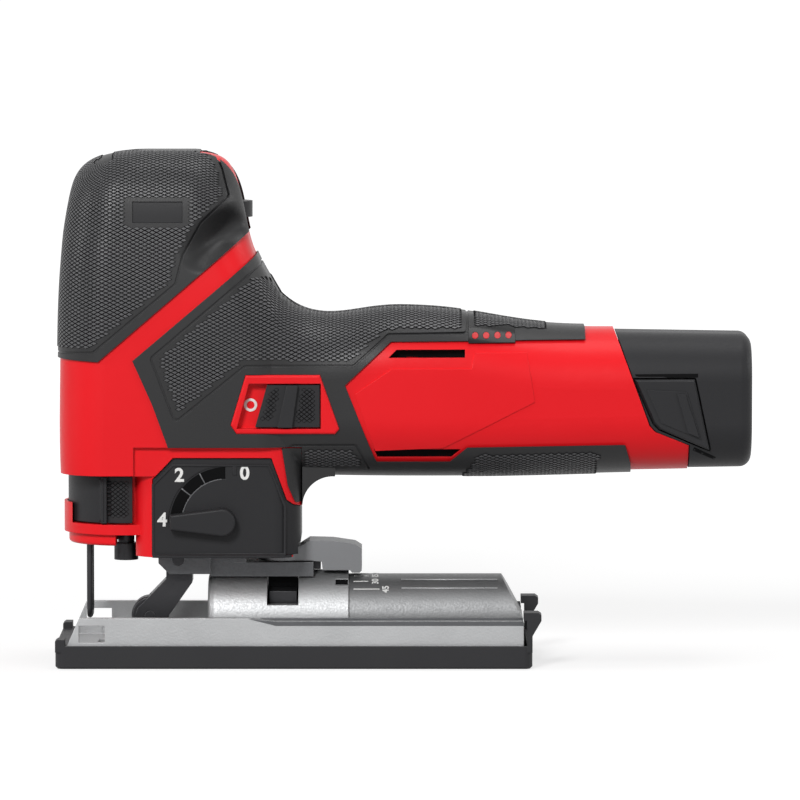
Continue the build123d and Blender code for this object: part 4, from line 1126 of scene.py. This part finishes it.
# %% Side panel, frame corner and vents
PANEL_FIELD = [
    (-17.6, 99.2),
    (-4.4, 108.2),
    (24.4, 108.2),
    (25.6, 113.9),
    (44.4, 113.9),
    (47.3, 96.2),
    (14.0, 79.4),
    (-10.4, 78.4),
]
FRAME_CORNER = [(-44.2, 79.4), (-36.95, 79.4), (-36.95, 59.4), (-39.4, 59.6), (-42.0, 65.6)]
VENTS = ((oblong(-6.6, 23.0, 111.4, 116.0), 21.9), (oblong(-11.8, 21.4, 75.2, 79.8), 19.4))
panel, rubber = made_of("red_shell"), made_of("grip_rubber")
vent_shade_ink = made_of("red_shell", skin=DARK_INK_AND_SHADE)
for name, side in SIDES.items():
    shell = name + "_shell"
    drape(name + "_label_field", PANEL_FIELD, shell, side, panel, lift=0.4, thick=0.5, step=1.6)
    drape(name + "_frame_corner", FRAME_CORNER, shell, side, rubber, lift=0.5, thick=3.0, step=0.8)
    for count, (vent, depth) in enumerate(VENTS):
        # Dark plates behind the vents are painted shade.
        plate(f"{name}_vent_shade_{count}", [vent], facing(side, depth), vent_shade_ink, thick=0.3, bevel=0.05)
print("panel field, frame corner and", len(VENTS), "vents on both sides")

# %% [markdown]
# Each battery latch has a thumb face with a step along its rear edge, and two dark slits lie above and below
# the latch. The battery bulges, so all of these are drapes, which follow it. The latch pieces ride on the
# latch, and the slits stay with the battery.

# %% Battery latches and slits
LATCH_FACE = [(87.6, 100.4), (102.2, 99.8), (107.4, 82.4), (93.0, 88.4)]
LATCH_STEP = [(98.6, 99.2), (101.6, 99.0), (106.7, 83.2), (102.6, 84.9)]
SLITS = (
    [(84.0, 104.7), (106.2, 104.9), (106.2, 106.3), (83.4, 106.1)],
    [(104.4, 78.3), (112.4, 74.6), (113.0, 75.6), (105.0, 79.5)],
)
slit_ink = made_of("battery_plastic", "battery_body", DARK_INK_AND_SHADE)
for name, side in SIDES.items():
    latch = made_of("battery_plastic", name + "_latch_body")
    drape(name + "_latch_face", LATCH_FACE, name + "_latch", side, latch, lift=0.5, thick=0.6, step=1.2)
    drape(name + "_latch_step", LATCH_STEP, name + "_latch", side, latch, lift=1.4, thick=1.4, step=1.0)
    for count, slit in enumerate(SLITS):
        slit_name = f"{name}_slit_{count}"
        drape(slit_name, slit, "battery_shell", side, slit_ink, lift=0.04, thick=0.1, step=1.0)
print("latch faces and", len(SLITS), "slits on both sides")

# %% [markdown]
# The shoe's hump is round about the tilting axis. Its bevel scale has lines at 0, 15, 30 and 45 degrees with
# upright figures, and two cast ridges run along each flank. Wrapping a flat print over the hump would bend
# the figures, so each line, figure and ridge is a small flat piece on a plane that touches the hump.

# %% Bevel scale on the shoe
HUMP_AXIS, HUMP_RADIUS = 15.6, 15.7
LINE_START, LINE_END, LAST_LINE_END = -18.4, -13.0, -8.9
LINE_HALF = 0.24
DEGREE_SIZE, DEGREE_BOLD, DEGREE_AT, LAST_DEGREE_AT = 3.3, 0.1, -10.4, -6.6
LAST_ANGLE = 45
RIDGE_ANGLES, RIDGE = (26.1, 43.4), oblong(-1.0, 34.0, -0.3, 0.3)


def on_hump(angle):
    """A drawing plane that touches the hump at an angle from its top, positive towards the left side."""
    centre = Matrix.Translation((0, 0, HUMP_AXIS * MM))
    return centre @ Matrix.Rotation(radians(angle), 4, "X") @ Matrix.Translation((0, 0, HUMP_RADIUS * MM))


cast = made_of("cast_aluminium", "shoe_body")
scale_ink = made_of("cast_aluminium", "shoe_body", WHITE_INK)
for sign in (1, -1):
    for angle in (0, 15, 30, LAST_ANGLE):
        turn = on_hump(sign * angle)
        line = oblong(LINE_START, LAST_LINE_END if angle == LAST_ANGLE else LINE_END, -LINE_HALF, LINE_HALF)
        spot = (LAST_DEGREE_AT if angle == LAST_ANGLE else DEGREE_AT, 0)
        if angle or sign > 0:
            plate(f"bevel_line_{sign * angle}", [line], turn, scale_ink, thick=0.1, bevel=0.02)
        if angle:
            figure_name, spin = f"bevel_figure_{sign * angle}", radians(90 * sign)
            mark(figure_name, str(angle), DEGREE_SIZE, spot, turn, scale_ink, spin, PRINT, DEGREE_BOLD)
    for count, angle in enumerate(RIDGE_ANGLES):
        turn = on_hump(sign * angle)
        plate(f"hump_ridge_{sign}_{count}", [RIDGE], turn, cast, thick=0.35, bevel=0.12)
print("bevel scale and", 2 * len(RIDGE_ANGLES), "ridges")

# %% [markdown]
# A darker band runs along the outside of each rail of the shoe, with a lip behind it: both are painted shade
# for the shadowed channel between rail and hump. The bevel pointer's slot is painted dark, as painted shade
# inside it. The casting could be darkened by a mask, as the hump is, but the bands have crisp ends, and thin
# plates give cleaner edges there.

# %% Rails and pointer of the shoe
RAIL_SHADE_BAND = [(-46.2, 15.5), (43.2, 15.5), (43.2, 17.15), (-46.1, 17.15), (-54.8, 18.0), (-56.4, 18.0)]
RAIL_SHADE_LIP = oblong(-52.0, 43.0, 14.0, 18.1)
BAND_DEPTH, LIP_DEPTH, SLOT_DEPTH = 30.95, 27.3, 9.02
POINTER_SLOT_SHADE = oblong(-24.9, -20.4, 28.25, 30.05)
# Rail bands and lips in darker metal are painted shade.
rail_shade = made_of("cast_aluminium", "shoe_body", PALETTE["bracket_metal"])
for name, side in SIDES.items():
    plate(name + "_rail_painted_shade", [RAIL_SHADE_BAND], facing(side, BAND_DEPTH), rail_shade, thick=0.12, bevel=0.02)
    plate(name + "_rail_lip_painted_shade", [RAIL_SHADE_LIP], facing(side, LIP_DEPTH), rail_shade, thick=0.45, bevel=0.1)
# A dark inlay in the pointer slot is painted shade.
slot_shade_ink = made_of("cast_aluminium", "shoe_body", DARK_INK_AND_SHADE)
plate("pointer_slot_painted_shade", [POINTER_SLOT_SHADE], facing(LEFT, SLOT_DEPTH), slot_shade_ink, thick=0.1, bevel=0.02)
print("rail bands, rail lips and pointer slot")

# %% [markdown]
# Between the tool and the shoe the bevel clamp sits in the dark. Two dark plates beside the clamp bolt are
# painted shade that keeps the light from showing through, and a small dark steel block, also painted shade,
# closes the gap behind the bracket. Plates are enough, because only their faces are ever seen.

# %% Clamp
CLAMP_SHADE_PLATE, CLAMP_SHADE_DEPTH = oblong(-49.6, -38.6, 19.0, 32.4), 3.1
GAP_SHADE, GAP_SHADE_THICK = oblong(-33.2, -30.4, 33.2, 36.1), 6.0
# Dark plates beside the clamp bolt: painted shade.
shade = made_of("dark_steel", skin=DARK_INK_AND_SHADE)
for name, side in SIDES.items():
    turn = facing(side, CLAMP_SHADE_DEPTH)
    plate(name + "_clamp_painted_shade", [CLAMP_SHADE_PLATE], turn, shade, thick=0.24, bevel=0.05)
# A dark block in the gap behind the bracket: painted shade.
gap_shade = made_of("bracket_metal", skin=PALETTE["dark_steel"])
plate("bracket_gap_shade", [GAP_SHADE], facing(LEFT, -GAP_SHADE_THICK / 2), gap_shade, GAP_SHADE_THICK, bevel=0.3)
print("clamp curtains and bracket tail")
